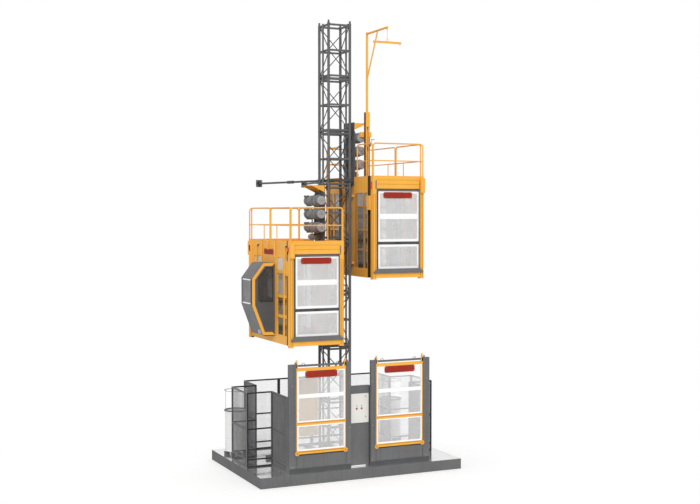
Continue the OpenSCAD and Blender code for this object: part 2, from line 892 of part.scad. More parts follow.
module gate_weight() {
    x = [gate_x1 + post_wall + weight_gap, fence_x - post_wall - weight_gap];
    y = [-gate_front + post_wall + weight_gap, -gate_front + gate_post_l - weight_gap];
    z1 = gate_post_z - post_wall - weight_gap;
    span(x, y, [z1 - gate_weight_h, z1]);
    for (z = [z1 - gate_weight_h + 30, z1 - 30 - shoe_in])
        span([x[0] - weight_gap + seam, x[1] + weight_gap - seam], [y[0] + 15, y[1] - 15], [z, z + shoe_in]);
}

module gate_weight_left() {
    color("#3c3d3f") on_left() gate_weight();
}

module gate_weight_right() {
    color("#3c3d3f") gate_weight();
}

// Cage frame: welded panels bolted together, with a seam between them

pulley_z = cage_h - 170;

module corner_column() {
    // Front post by the door, the corner post and the counterweight channel behind it
    difference() {
        span([cage_x1 + post_out - post_w, cage_x1 + post_out], [cage_y0, cage_y0 + post_l], [0, cage_h]);
        span([cage_x1 + post_out - post_w - over, cage_x1 + post_out - post_w + groove_in],
            [door_y0 - door_gap, door_y0 + door_t + door_gap], [beam_z1, cage_h + over]);
    }
    web = cage_x1 - weight_t - 2 * weight_gap;
    span([web - channel_t, web], [cage_y0 + post_l - channel_t, side_y0 - seam], [beam_z0, cage_h]);
    span([web - channel_t, cage_x1 + post_out - post_w + over],
        [cage_y0 + post_l - channel_t, cage_y0 + post_l], [beam_z0, cage_h]);
    span([web - channel_t, cage_x1], [side_y0 - channel_t - seam, side_y0 - seam], [beam_z0, cage_h]);
}

module inner_column() {
    difference() {
        span([cage_x0, cage_x0 + post_w], [cage_y0, cage_y0 + post_l], [0, cage_h]);
        span([cage_x0 + post_w - groove_in, cage_x0 + post_w + over],
            [door_y0 - door_gap, door_y0 + door_t + door_gap], [beam_z1, cage_h + over]);
    }
    web = cage_x0 + weight_t + 2 * weight_gap;
    span([web, web + channel_t], [cage_y0 + post_l - over, side_y0 - seam], [beam_z0, cage_h]);
    span([cage_x0, web + channel_t], [side_y0 - channel_t - seam, side_y0 - seam], [beam_z0, cage_h]);
}

module parapet() {
    x = [cage_x0 + post_w + seam, cage_x1 + post_out - post_w - seam];
    fold = 8;
    difference() {
        span(x, [cage_y0, cage_y0 + wall_t], [header_z, cage_h]);
        for (z = [header_z + parapet_h / 3, header_z + parapet_h * 2 / 3])
            span([x[0] - over, x[1] + over], [cage_y0 - over, cage_y0 + fold], [z, z + fold]);
    }
}

module sill_beam() {
    span([cage_x0 + post_w + seam, cage_x1 + post_out - post_w - seam],
        [cage_y0, cage_y0 + wall_t], [beam_z0, beam_z1]);
}

// Outline in Y and Z of a side wall from the counterweight channel to the middle bay
module side_outline(y1) {
    difference() {
        rect([side_y0, y1], [beam_z0, cage_h]);
        for (i = [0 : len(wall_rows) - 2]) {
            z = [wall_rows[i] + (i > 0 ? row_bar : 0), wall_rows[i + 1]];
            rect([side_y0 + 14, col_y1], z);
            rect([col_y2, col_y3], z);
        }
    }
}

module middle_bay_bands() {
    for (z = cab_hinges)
        translate([cab_hinge_x, cab_hinge_y, z]) hinge_ears([-8, 14], [-8, bay1 - cab_hinge_y + over]);
    span([cage_x1 - wall_t, cage_x1], [bay0 + seam, bay1 - seam], [cab_z1 + seam, cage_h]);
    span([cage_x1 - wall_t, cage_x1], [bay0 + seam, bay1 - seam], [beam_z0, cab_z0 - seam]);
}

module inner_bay_sheet() {
    y = [bay0 + seam, bay1 - seam];
    span([bay_wall_x, bay_wall_x + sheet_t], y, [beam_z0, plate_z0 - seam]);
    for (z = roller_z) roller_bracket(z);
}

bracket_plate = 12;
bracket_in = roller_w / 2 + 2;
bracket_half = bracket_in + bracket_plate;

// Two cheeks beside each roller, with a pin through them, on a backing plate
module roller_bracket(z) {
    for (y = [-mast_half, mast_half]) translate([0, y, z]) {
        difference() {
            for (side = [-1, 1])
                span([roller_x - roller_r * 0.7, bay_wall_x + 1],
                    side > 0 ? [bracket_in, bracket_half] : [-bracket_half, -bracket_in],
                    [-roller_r * 0.8, roller_r * 0.8]);
            translate([roller_x, 0, 0])
                rod_y(-bracket_half - over, 2 * bracket_half + 2 * over, pin_d + 2 * fit);
        }
    }
}

// Room for the counterweight channels at the corners of a floor or roof
module channel_notches(z) {
    at_both_ends() {
        span([cage_x0, cage_x0 + post_w + seam], [deck_y0 - over, side_y0], z);
        span([cage_x1 - weight_t - 2 * weight_gap - channel_t - seam, cage_x1],
            [deck_y0 - over, side_y0], z);
    }
}

module roof_deck() {
    difference() {
        span([cage_x0 + wall_t + seam, cage_x1 - wall_t - seam],
            [deck_y0, deck_y1], [deck_z, deck_z + deck_t]);
        hatch_hole();
        channel_notches([deck_z - over, deck_z + deck_t + over]);
    }
    for (x = hatch_hinges) translate([hatch_x + x, hatch_hinge_y, hatch_hinge_z]) rotate([0, 90, 0])
        hinge_ears([-7, 12], [-6, 20]);
}

hatch_x = 1350;
hatch_y = 850;
hatch_hinge_y = hatch_y + hatch_l / 2 + 10;
hatch_lid_t = 8;
hatch_hinge_z = deck_z + deck_t + 10;
hatch_hinges = [-hatch_l / 2 + 60, hatch_l / 2 - 60 - knuckle_l];

module hatch_hole() {
    half = hatch_l / 2 - 30;
    span([hatch_x - half, hatch_x + half], [hatch_y - half, hatch_y + half],
        [deck_z - over, deck_z + deck_t + over]);
}

module rain_hood() {
    x0 = drive_x1 + seam;
    z1 = plate_top - 20;
    span([x0, x0 + hood_l], [-plate_half, plate_half], [z1 - 4, z1]);
    for (y = [-plate_half, 0, plate_half - 6])
        along_y(y, 6) polygon([[x0, z1 - 4], [x0 + hood_l, z1 - 4], [x0, z1 - 190]]);
}

module pulley_box() {
    span([cage_x1 + post_out - post_w - 7, cage_x1 + post_out + 4], [cage_y0 - 75, cage_y0 - seam],
        [pulley_z - 290, pulley_z + 110]);
}

module cage_frame() {
    color("#f5b04a") {
        at_both_ends() {
            corner_column();
            inner_column();
            parapet();
            sill_beam();
            pulley_box();
        }
        along_x(cage_x1 - wall_t, wall_t) side_outline(bay0);
        along_x(cage_x0, wall_t) side_outline(bay0);
        at_rear() {
            along_x(cage_x1 - wall_t, wall_t) side_outline(2 * cage_shift - bay1);
            along_x(cage_x0, wall_t) side_outline(2 * cage_shift - bay1);
        }
        middle_bay_bands();
        inner_bay_sheet();
        roof_deck();
        rain_hood();
    }
}

module cage_floor() {
    x = [cage_x0 + wall_t + seam, cage_x1 - wall_t - seam];
    step = (deck_y1 - deck_y0 - 400 - joist_w) / 6;
    color("#8b8d8f") difference() {
        union() {
            span(x, [deck_y0, deck_y1], [beam_z1, beam_z1 + floor_t]);
            for (i = [0 : 6])
                let (y = deck_y0 + 200 + i * step)
                span(x, [y, y + joist_w], [beam_z1 - joist_h, beam_z1 + 1]);
            for (y = [-buffer_y, buffer_y])
                span([cage_xm - striker_w / 2, cage_xm + striker_w / 2],
                    [y - striker_w / 2, y + striker_w / 2], [beam_z0, beam_z1 + 1]);
        }
        channel_notches([beam_z0, beam_z1 + floor_t + over]);
    }
}

module wall_nets(x0, y1) {
    along_x(x0, mesh_t) for (i = [0 : len(wall_rows) - 2]) {
        z = [wall_rows[i] + (i > 0 ? row_bar : 0) + seam, wall_rows[i + 1] - seam];
        net([side_y0 + 14 + seam, col_y1 - seam], z);
        net([col_y2 + seam, col_y3 - seam], z);
    }
}

module cage_mesh() {
    shift = (wall_t - mesh_t) / 2;
    color("#d4d5d5") {
        at_both_ends() {
            wall_nets(cage_x1 - wall_t + shift, bay0);
            wall_nets(cage_x0 + shift, bay0);
        }
        translate([cage_x1 + cab_out - cab_t + (cab_t - mesh_t) / 2, 0, 0])
            rotate([90, 0, 90]) linear_extrude(mesh_t)
                net([cab_win_y[0] + seam, cab_win_y[1] - seam], [cab_win_z[0] + seam, cab_win_z[1] - seam]);
    }
}

// Railings: each frame is one bent tube with a middle rail, drawn from 0 along X

module rail_frame(length, shorts = []) {
    r = rail_d / 2;
    top = rail_h - r;
    foot = seam;
    for (x = [0, length]) translate([x, 0, foot]) cylinder(h = top - rail_r - foot, d = rail_d);
    translate([rail_r, 0, top]) rod_x(0, length - 2 * rail_r, rail_d);
    for (end = [0, 1]) translate([end * length, 0, 0]) mirror([end, 0, 0])
        translate([rail_r, 0, top - rail_r]) rotate([90, 0, 0]) rotate([0, 0, 90])
            rotate_extrude(angle = 90) translate([rail_r, 0]) circle(d = rail_d);
    translate([0, 0, mid_rail_h]) rod_x(0, length, rail_d * 0.8);
    for (x = shorts) translate([x, 0, foot]) cylinder(h = mid_rail_h - foot, d = rail_d * 0.7);
}

rail_in = 22;
rail_y0 = cage_y0 + wall_t / 2;
rail_side_y0 = rail_y0 + rail_d * 1.2;
rail_mid = 30;
rail_short = 460;

module railings() {
    color("#f5b04a") translate([0, 0, cage_h]) {
        front_l = cage_w - 2 * rail_in + post_out;
        at_both_ends() translate([cage_x0 + rail_in, rail_y0, 0]) rail_frame(front_l);
        side_l = cage_shift - rail_mid - rail_side_y0;
        at_both_ends() {
            translate([cage_x1 - rail_in, rail_side_y0, 0]) rotate([0, 0, 90])
                rail_frame(side_l, [side_l - rail_short]);
            translate([cage_x0 + rail_in, rail_side_y0, 0]) rotate([0, 0, 90])
                rail_frame(-plate_half - 200 - rail_side_y0);
        }
    }
}

module roof_hatch() {
    half = hatch_l / 2;
    z = deck_z + deck_t + seam;
    color("#e9a640") {
        span([hatch_x - half, hatch_x + half], [hatch_y - half, hatch_y + half], [z, z + hatch_lid_t]);
        for (x = hatch_hinges) translate([hatch_x + x, hatch_hinge_y, hatch_hinge_z]) rotate([0, 90, 0])
            hinge_knuckle([2, 8], [-14, 0]);
        span([hatch_x - 70, hatch_x + 70], [hatch_y - half + 40, hatch_y - half + 60], [z, z + 40]);
    }
}

// Operator cab

// The outline drawn inside a closed outline, d from each edge
function inset_line(a, b, d) = let (v = (b - a) / norm(b - a)) [a + d * [-v[1], v[0]], v];
function cross2(a, b) = a[0] * b[1] - a[1] * b[0];
function meet(l, m) = l[0] + l[1] * cross2(m[0] - l[0], m[1]) / cross2(l[1], m[1]);
function inset(p, d) = let (n = len(p)) [
    for (i = [0 : n - 1])
        meet(inset_line(p[(i + n - 1) % n], p[i], d), inset_line(p[i], p[(i + 1) % n], d))
];

cab_win_y = [bay0 + 90, bay1 - 90];
cab_win_z = [cab_z0 + 910, cab_z1 - 450];

// The cab's skin: the profile without its inner parts and open to the cage
module cab_skin_outline() {
    inner = inset(cab_profile, cab_t);
    difference() {
        polygon(cab_profile);
        polygon(inner);
        rect([-over, cab_t + over], [cab_z0 + cab_t, cab_z1 - cab_t]);
    }
}

cab_glass = [
    [60, cab_z1 - 1050], [420, cab_z1 - 1050], [470, cab_z1 - 990], [470, cab_z1 - 410], [235, cab_z1 - 120],
    [60, cab_z1 - 120]
];

module cab() {
    x0 = cage_x1 + seam;
    color("#77787a") translate([x0, 0, 0]) {
        difference() {
            along_y(bay0 + cab_t + seam, cab_w - 2 * cab_t - 2 * seam) cab_skin_outline();
            span([cab_out - cab_t - over, cab_out + over], cab_win_y, cab_win_z);
        }
        along_y(bay0, cab_t) difference() {
            polygon(cab_profile);
            polygon(cab_glass);
        }
        along_y(bay1 - cab_t, cab_t) difference() {
            polygon(cab_profile);
            polygon(cab_glass);
        }
    }
    color("#f5b04a") translate([x0, 0, 0]) {
        along_y(bay0 - 14 - seam, 14) difference() {
            polygon(cab_profile);
            polygon(inset(cab_profile, cab_rib));
            rect([-over, cab_rib + over], [cab_z0 + cab_rib, cab_z1 - cab_rib]);
        }
    }
}

cab_door_y = [bay0 + 20, bay1 - 50];
cab_door_z = [cab_z0 + 10, cab_z1 - 10];
cab_door_t = 30;
cab_light_z0 = cab_z0 + 1002;
cab_light_z1 = cab_z1 - 510;
cab_hinge_y = bay1 - 30;
cab_hinge_x = cage_x1 - wall_t - 4;
cab_hinges = [cab_z0 + 200, cab_z1 - 300];

module cab_door() {
    mid = (cab_door_y[0] + cab_door_y[1]) / 2;
    half = 230;
    color("#85868a")
        along_x(cage_x1 - wall_t + 2, cab_door_t) difference() {
            rect(cab_door_y, cab_door_z);
            rect([mid - half, mid + half], [cab_light_z0, cab_light_z1]);
            translate([mid, cab_light_z1]) intersection() {
                circle(r = half);
                rect([-half, half], [-1, half]);
            }
        }
    color("#85868a") for (z = cab_hinges)
        translate([cab_hinge_x, cab_hinge_y, z]) hinge_knuckle([2, 8], [-24, 0]);
}

// Drive on the roof: plate, three motors with worm gears, overspeed governor

function drive_heights() = [for (i = [0 : 2]) drive_foot + i * drive_pitch];

module drive_plate() {
    flange_d = 150;
    color("#55565a") difference() {
        union() {
            span([drive_x0, drive_x1], [-plate_half, plate_half], [plate_z0, plate_top]);
            for (y = [-plate_half, plate_half - 12])
                span([drive_x1 - 1, drive_x1 + flange_l], [y, y + 12], [cage_h + 10, plate_top - 260]);
        }
        for (z = [governor_z, each drive_heights()]) translate([0, pinion_y, z])
            rod_x(drive_x0 - over, plate_t + 2 * over, flange_d);
        for (z = drive_heights()) for (y = [-200, -60])
            span([drive_x0 - over, drive_x1 + over], [y, y + 70], [z - 60, z + 60]);
    }
}

gear_x0 = drive_x1 + seam;
gear_w = 244;
gear_xm = gear_x0 + gear_w / 2 + 30;
gear_y = [pinion_y - 150, pinion_y + 150];
motor_y0 = -500;
motor_y1 = 490;

module drive_unit() {
    difference() {
        union() {
            translate([0, pinion_y, 0]) rod_x(gear_x0, 60, 200);
            translate([gear_xm, 0, 0]) {
                rod_y(gear_y[0], gear_y[1] - gear_y[0], motor_d - 10);
                rod_y(motor_y0 + 30, 230, motor_d * 0.82);
                rod_y(motor_y0, 40, motor_d * 0.74);
                rod_y(-240, 25, motor_d);
                rod_y(-220, 220 + gear_y[0] + over, motor_d * 0.6);
                rod_y(gear_y[1] - over, 160, motor_d * 0.5);
                rod_y(gear_y[1] + 120, motor_y1 - gear_y[1] - 120, motor_d * 0.86);
            }
            span([gear_xm - 70, gear_xm + 70], [gear_y[1] + 150, motor_y1 - 60],
                [-motor_d / 2 - 6, -motor_d / 4]);
            translate([0, pinion_y, 0]) rod_x(gear_xm + 90, 70, 140);
        }
        translate([0, pinion_y, 0]) rod_x(gear_x0 - over, 120 + over, shaft_d + 2 * fit);
    }
}

module governor_unit() {
    translate([0, pinion_y, 0]) difference() {
        union() {
            rod_x(gear_x0, 60, 210);
            rod_x(gear_x0 + 50, 200, 170);
            rod_x(gear_x0 + 240, 60, 110);
        }
        rod_x(gear_x0 - over, 120 + over, shaft_d + 2 * fit);
    }
}

module drive_motors() {
    color("#8a8c8f") for (z = drive_heights()) translate([0, 0, z]) drive_unit();
    color("#2d2e30") translate([0, 0, governor_z]) governor_unit();
}

// Pinion outline in Y and Z with a tooth gap towards -Y at phase 0
function flank(a, r) = [r * cos(a), r * sin(a)];
function inv(a) = tan(a) * 180 / PI - a;
base_r = pinion_r * cos(pressure_angle);
pinion_tip = pinion_r + addendum;
pinion_root = pinion_r - dedendum;
tooth_half = 90 / pinion_teeth - backlash / 4 / pinion_r * 180 / PI + inv(pressure_angle);
flank_steps = 3;

function tooth_flank() = [
    for (i = [0 : flank_steps])
        let (
            r = max(base_r, pinion_root) + (pinion_tip - max(base_r, pinion_root)) * i / flank_steps,
            a = tooth_half - inv(acos(min(1, base_r / r)))
        )
        [a, r]
];

module pinion_outline() {
    side = tooth_flank();
    polygon([
        for (t = [0 : pinion_teeth - 1])
            let (mid = 180 + (t + 0.5) * 360 / pinion_teeth)
            each [
                flank(mid - side[0][0], pinion_root),
                for (p = side) flank(mid - p[0], p[1]),
                for (i = [flank_steps : -1 : 0]) flank(mid + side[i][0], side[i][1]),
                flank(mid + side[0][0], pinion_root)
            ]
    ]);
}

// Turn of a pinion, so that its gap faces the rack tooth beside it
function pinion_phase(z) =
    let (d = (z - mast_foot) / tooth_pitch - 0.5)
    (d - round(d)) * tooth_pitch / pinion_r * 180 / PI;

module pinion(height, foot) {
    color("#7b7d80") translate([0, pinion_y, height]) {
        along_x(pinion_x0, pinion_w) rotate(pinion_phase(height + foot)) pinion_outline();
        rod_x(pinion_x0 + pinion_w - 1, gear_x0 + 100 - pinion_x0 - pinion_w, shaft_d, 12);
    }
}

// A grooved roller that hugs the leg, drawn about the Y axis
module guide_roller() {
    lip = 9;
    groove_r = leg_d / 2 + seam;
    rotate([90, 0, 0]) rotate_extrude() difference() {
        translate([0, -roller_w / 2]) square([roller_r + lip, roller_w]);
        translate([roller_r + groove_r, 0]) circle(r = groove_r, $fn = 96);
    }
    rod_y(-bracket_half, 2 * bracket_half, pin_d);
}

module rollers(z) {
    color("#303133")
        for (y = [-mast_half, mast_half]) translate([roller_x, y, z]) guide_roller();
}

// Cage doors and their counterweights

door_windows = [[335, 890], [1090, 1650], [1785, 2350]];

module door_leaf() {
    x = [door_x0, door_x1];
    bars = [[door_z0 + seam, 335], [890, 1090], [1650, 1785], [2350, door_z1]];
    span([x[0], x[0] + stile_w], [door_y0, door_y0 + door_t], [door_z0 + seam, door_z1]);
    span([x[1] - stile_w, x[1]], [door_y0, door_y0 + door_t], [door_z0 + seam, door_z1]);
    for (z = bars) span(x, [door_y0, door_y0 + door_t], z);
    groove = [door_y0 - door_gap + seam, door_y0 + door_t + door_gap - seam];
    for (z = [door_z0 + 100, door_z1 - 100 - shoe_h]) {
        span([x[0] - door_gap - shoe_in, x[0] + 1], groove, [z, z + shoe_h]);
        span([x[1] - 1, x[1] + door_gap + shoe_in], groove, [z, z + shoe_h]);
    }
    along_y(door_y0 + (door_t - mesh_t) / 2, mesh_t)
        for (z = door_windows) net([x[0] + stile_w - 1, x[1] - stile_w + 1], [z[0] - 1, z[1] + 1]);
}

module door_weights() {
    z1 = cage_h - 10;
    y = [cage_y0 + post_l + weight_gap, side_y0 - channel_t - seam - weight_gap];
    for (x0 = [cage_x0 + weight_gap, cage_x1 - weight_t - weight_gap]) {
        span([x0, x0 + weight_t], y, [z1 - weight_h, z1]);
        for (z = [z1 - weight_h + 30, z1 - 30 - shoe_in])
            span([x0 + 15, x0 + weight_t - 15],
                [y[0] - weight_gap + seam, y[1] + weight_gap - seam], [z, z + shoe_in]);
    }
}

module front_door() {
    color("#f0f0ee") door_leaf();
}

module rear_door() {
    color("#f0f0ee") at_rear() door_leaf();
}

module front_weights() {
    color("#3c3d3f") door_weights();
}

module rear_weights() {
    color("#3c3d3f") at_rear() door_weights();
}

// Jib on the right cage's roof, drawn over the cage feet

module jib_guide() {
    half = jib_guide_w / 2;
    wall = 8;
    z0 = jib_deck + seam;
    color("#e6a551") translate([jib_x, -jib_y, 0]) {
        difference() {
            span([-half, half], [-half, half], [z0, guide_top]);
            span([wall - half, half - wall], [wall - half, half - wall], [z0 + 60, collar_z]);
            translate([0, 0, jib_foot]) cylinder(h = collar_h, d = jib_pole_d + 2 * fit);
            for (a = [0, 90]) rotate([0, 0, a])
                span([-half - over, half + over], [-slot_w / 2, slot_w / 2], [z0 + 90, collar_z]);
        }
        cross_z = collar_z - cross_drop;
        span([-cross_l / 2, cross_l / 2], [half - 1, half + cross_t], [cross_z, cross_z + cross_h]);
        difference() {
            for (x = [-winch_w / 2 - 12, winch_w / 2])
                span([x, x + 12], [-half - 110, 1 - half], [winch_z - 60, winch_z + 60]);
            translate([0, -half - winch_out, winch_z]) rod_x(-winch_w, 2 * winch_w, pin_d + 2 * fit);
        }
    }
}

module jib_winch() {
    y = -jib_y - jib_guide_w / 2 - winch_out;
    color("#57585a") translate([jib_x, y, winch_z]) {
        rod_x(-winch_w / 2 + 1, winch_w - 2, winch_r * 1.6);
        rod_x(-winch_w / 2 - 16, winch_w + 60, pin_d, 12);
        translate([winch_w / 2 + 32, 0, 0]) span([0, 10], [-9, 9], [-9, 150]);
        translate([0, 0, 140]) rod_x(winch_w / 2 + 41, 90, 24);
    }
}

module jib_pole() {
    z0 = jib_foot + seam;
    arm_z = pole_top - 40;
    color("#e6a551") translate([jib_x, -jib_y, 0]) {
        translate([0, 0, z0]) cylinder(h = pole_top - z0, d = jib_pole_d);
        translate([0, 0, arm_z]) rod_y(-jib_reach, jib_reach, arm_d);
        strut([0, -680, arm_z], [0, 0, arm_z - 1270], brace_d);
        translate([0, -jib_reach + 20, 0]) span([-8, 8], [-25, 25], [arm_z - arm_d / 2 - 40, arm_z - 10]);
    }
}

rope_top = pole_top - 40 - arm_d / 2 - 40 - seam;
ring_top = rope_top - rope_l;
hook_y = -jib_y - jib_reach + 20;

module jib_rope() {
    color("#77787a") translate([jib_x, hook_y, ring_top]) cylinder(h = rope_l, d = rope_d);
}

module jib_spreader() {
    bar_z = ring_top - seam - 2 * ring_r - ring_d / 2;
    color("#e6a551") translate([jib_x, hook_y, 0]) {
        translate([0, 0, bar_z + ring_r]) rotate([90, 0, 0]) rotate_extrude()
            translate([ring_r, 0]) circle(d = ring_d);
        span([-spreader_l / 2, spreader_l / 2], [-25, 25], [bar_z - spreader_h, bar_z + 2]);
        for (x = [-1, 1]) translate([x * (spreader_l / 2 - 30), 0, bar_z - spreader_h - 20])
            rotate([90, 0, 0]) rotate_extrude() translate([20, 0]) circle(d = 8);
    }
}

foundation_slab();
base_frame();
buffer_springs();
mast_sections();
mast_racks();
mast_tie();
enclosure_frame();
enclosure_mesh();
cable_drums();
cabinet_box();
cabinet_door();
stop_button(-button_x);  // stop_button_left
stop_button(button_x);  // stop_button_right
gate_left();
gate_right();
gate_weight_left();
gate_weight_right();
at_right_cage() jib_guide();
at_right_cage() jib_pole();
at_right_cage() jib_winch();
at_right_cage() jib_rope();
at_right_cage() jib_spreader();
at_left_cage() cage_frame();  // left_cage_frame
at_left_cage() cage_floor();  // left_cage_floor
at_left_cage() cage_mesh();  // left_cage_mesh
at_left_cage() railings();  // left_railings
at_left_cage() roof_hatch();  // left_roof_hatch
at_left_cage() cab();  // left_cab
at_left_cage() cab_door();  // left_cab_door
at_left_cage() drive_plate();  // left_drive_plate
at_left_cage() drive_motors();  // left_drive_motors
at_left_cage() front_door();  // left_front_door
at_left_cage() rear_door();  // left_rear_door
at_left_cage() front_weights();  // left_front_weights
at_left_cage() rear_weights();  // left_rear_weights
at_left_cage() pinion(pinion_z[0], left_cage_z);  // left_pinion_1
at_left_cage() pinion(pinion_z[1], left_cage_z);  // left_pinion_2
at_left_cage() pinion(pinion_z[2], left_cage_z);  // left_pinion_3
at_left_cage() pinion(governor_z, left_cage_z);  // left_governor_pinion
at_left_cage() rollers(roller_z[1]);  // left_rollers_upper
at_left_cage() rollers(roller_z[0]);  // left_rollers_lower
at_right_cage() cage_frame();  // right_cage_frame
at_right_cage() cage_floor();  // right_cage_floor
at_right_cage() cage_mesh();  // right_cage_mesh
at_right_cage() railings();  // right_railings
at_right_cage() roof_hatch();  // right_roof_hatch
at_right_cage() cab();  // right_cab
at_right_cage() cab_door();  // right_cab_door
at_right_cage() drive_plate();  // right_drive_plate
at_right_cage() drive_motors();  // right_drive_motors
at_right_cage() front_door();  // right_front_door
at_right_cage() rear_door();  // right_rear_door
at_right_cage() front_weights();  // right_front_weights
at_right_cage() rear_weights();  // right_rear_weights
at_right_cage() pinion(pinion_z[0], right_cage_z);  // right_pinion_1
at_right_cage() pinion(pinion_z[1], right_cage_z);  // right_pinion_2
at_right_cage() pinion(pinion_z[2], right_cage_z);  // right_pinion_3
at_right_cage() pinion(governor_z, right_cage_z);  // right_governor_pinion
at_right_cage() rollers(roller_z[1]);  // right_rollers_upper
at_right_cage() rollers(roller_z[0]);  // right_rollers_lower
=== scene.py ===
import math
import bmesh
import bpy
from mathutils import Matrix, Vector


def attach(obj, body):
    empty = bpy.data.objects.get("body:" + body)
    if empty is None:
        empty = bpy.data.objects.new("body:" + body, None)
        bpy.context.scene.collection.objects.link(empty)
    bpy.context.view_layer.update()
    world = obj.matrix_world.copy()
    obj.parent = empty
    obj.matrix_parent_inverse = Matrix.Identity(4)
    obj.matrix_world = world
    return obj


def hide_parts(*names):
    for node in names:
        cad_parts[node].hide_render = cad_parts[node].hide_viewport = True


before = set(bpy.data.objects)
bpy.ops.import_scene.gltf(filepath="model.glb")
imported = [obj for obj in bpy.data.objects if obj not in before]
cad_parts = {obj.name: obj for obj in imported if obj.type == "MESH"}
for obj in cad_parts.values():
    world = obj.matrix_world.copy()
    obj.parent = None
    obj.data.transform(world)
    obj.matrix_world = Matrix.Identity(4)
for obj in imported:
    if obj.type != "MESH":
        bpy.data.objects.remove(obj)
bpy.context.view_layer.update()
print("hoist frame loaded:", len(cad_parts), "nodes")

scene = bpy.context.scene

# Both cages: which side of the mast, and the height of their feet
cages = {
    "left": {"sign": -1, "foot": 3.587},
    "right": {"sign": 1, "foot": 5.345},
}
cageMiddle = 0.004  # the cages stand this far behind the mast's axis

# Camera at the photograph's place: metres, degrees, and millimetres for the lens
cameraView = {
    "place": (-13.244, -29.891, 7.121),
    "tilt": 88.138,
    "turn": -24.66,
    "lens": 59.5,
    "sensor": 36.0,
    "farthest": 300,
}


def setCamera(view):
    eye = bpy.data.cameras.new("photoCamera")
    eye.lens = view["lens"]
    eye.sensor_width = view["sensor"]
    eye.sensor_fit = "HORIZONTAL"
    eye.clip_end = view["farthest"]
    camera = bpy.data.objects.new("photoCamera", eye)
    camera.location = view["place"]
    camera.rotation_euler = (math.radians(view["tilt"]), 0, math.radians(view["turn"]))
    scene.collection.objects.link(camera)
    bpy.context.scene.camera = camera


setCamera(cameraView)
scene.view_settings.view_transform = "Standard"
print("camera set")


# Node tools: pin0, pin1 and so on mean a node's inputs by number, and _ in other names stands for a space
def feedNode(tree, node, **inputs):
    for label, value in inputs.items():
        socket = node.inputs[int(label[3:]) if label.startswith("pin") else label.replace("_", " ")]
        if isinstance(value, bpy.types.NodeSocket):
            tree.links.new(value, socket)
        else:
            socket.default_value = value
    return node


def addNode(tree, kind, settings=None, **inputs):
    node = tree.nodes.new(kind)
    for label, value in (settings or {}).items():
        setattr(node, label, value)
    return feedNode(tree, node, **inputs)


def useGroup(tree, group, **inputs):
    return addNode(tree, "ShaderNodeGroup", {"node_tree": group}, **inputs)


def blendColors(tree, factor, first, second):
    mix = addNode(tree, "ShaderNodeMix", {"data_type": "RGBA"}, pin0=factor, pin6=first, pin7=second)
    return mix.outputs[2]


def doMath(tree, operation, *values, clamp=False):
    pins = {f"pin{k}": value for k, value in enumerate(values)}
    return addNode(tree, "ShaderNodeMath", {"operation": operation, "use_clamp": clamp}, **pins).outputs[0]


def rise(tree, value, start, end):
    # From 0 at start to 1 at end
    slope = addNode(tree, "ShaderNodeMapRange", {"interpolation_type": "SMOOTHSTEP"}, Value=value,
        From_Min=start, From_Max=end)
    return slope.outputs["Result"]


def fall(tree, value, start, end):
    return doMath(tree, "SUBTRACT", 1.0, rise(tree, value, start, end))


def noise(tree, place, scale, detail, **more):
    return addNode(tree, "ShaderNodeTexNoise", Vector=place, Scale=scale, Detail=detail, **more).outputs["Fac"]


def objectPlace(tree):
    return tree.nodes.new("ShaderNodeTexCoord").outputs["Object"]


def faceWay(tree, kind="Normal"):
    return tree.nodes.new("ShaderNodeNewGeometry").outputs[kind]


def axesOf(tree, vector):
    return addNode(tree, "ShaderNodeSeparateXYZ", Vector=vector).outputs


# Node groups that several finishes share
def openGroup(name, inputs, outputs):
    group = bpy.data.node_groups.new(name, "ShaderNodeTree")
    for label, kind, value in inputs:
        socket = group.interface.new_socket(name=label, in_out="INPUT", socket_type=f"NodeSocket{kind}")
        socket.default_value = value
    for label, kind in outputs:
        group.interface.new_socket(name=label, in_out="OUTPUT", socket_type=f"NodeSocket{kind}")
    given, made = group.nodes.new("NodeGroupInput"), group.nodes.new("NodeGroupOutput")
    return group, given.outputs, made


mottleGrain = {
    "driftDetail": 5.0, "drift": (0.38, 0.66), "driftShare": 0.55,
    "rainStretch": (9, 9, 0.7), "rainScale": 2.0, "rainDetail": 3.0, "rain": (0.46, 0.70), "rainShare": 0.45,
    "speckleScale": 160.0, "speckleDetail": 2.0, "speckleRough": 0.08,
    "peelScale": 420.0, "peelDetail": 1.0, "peelShare": 0.6,
    "shadeRough": 0.22,
}


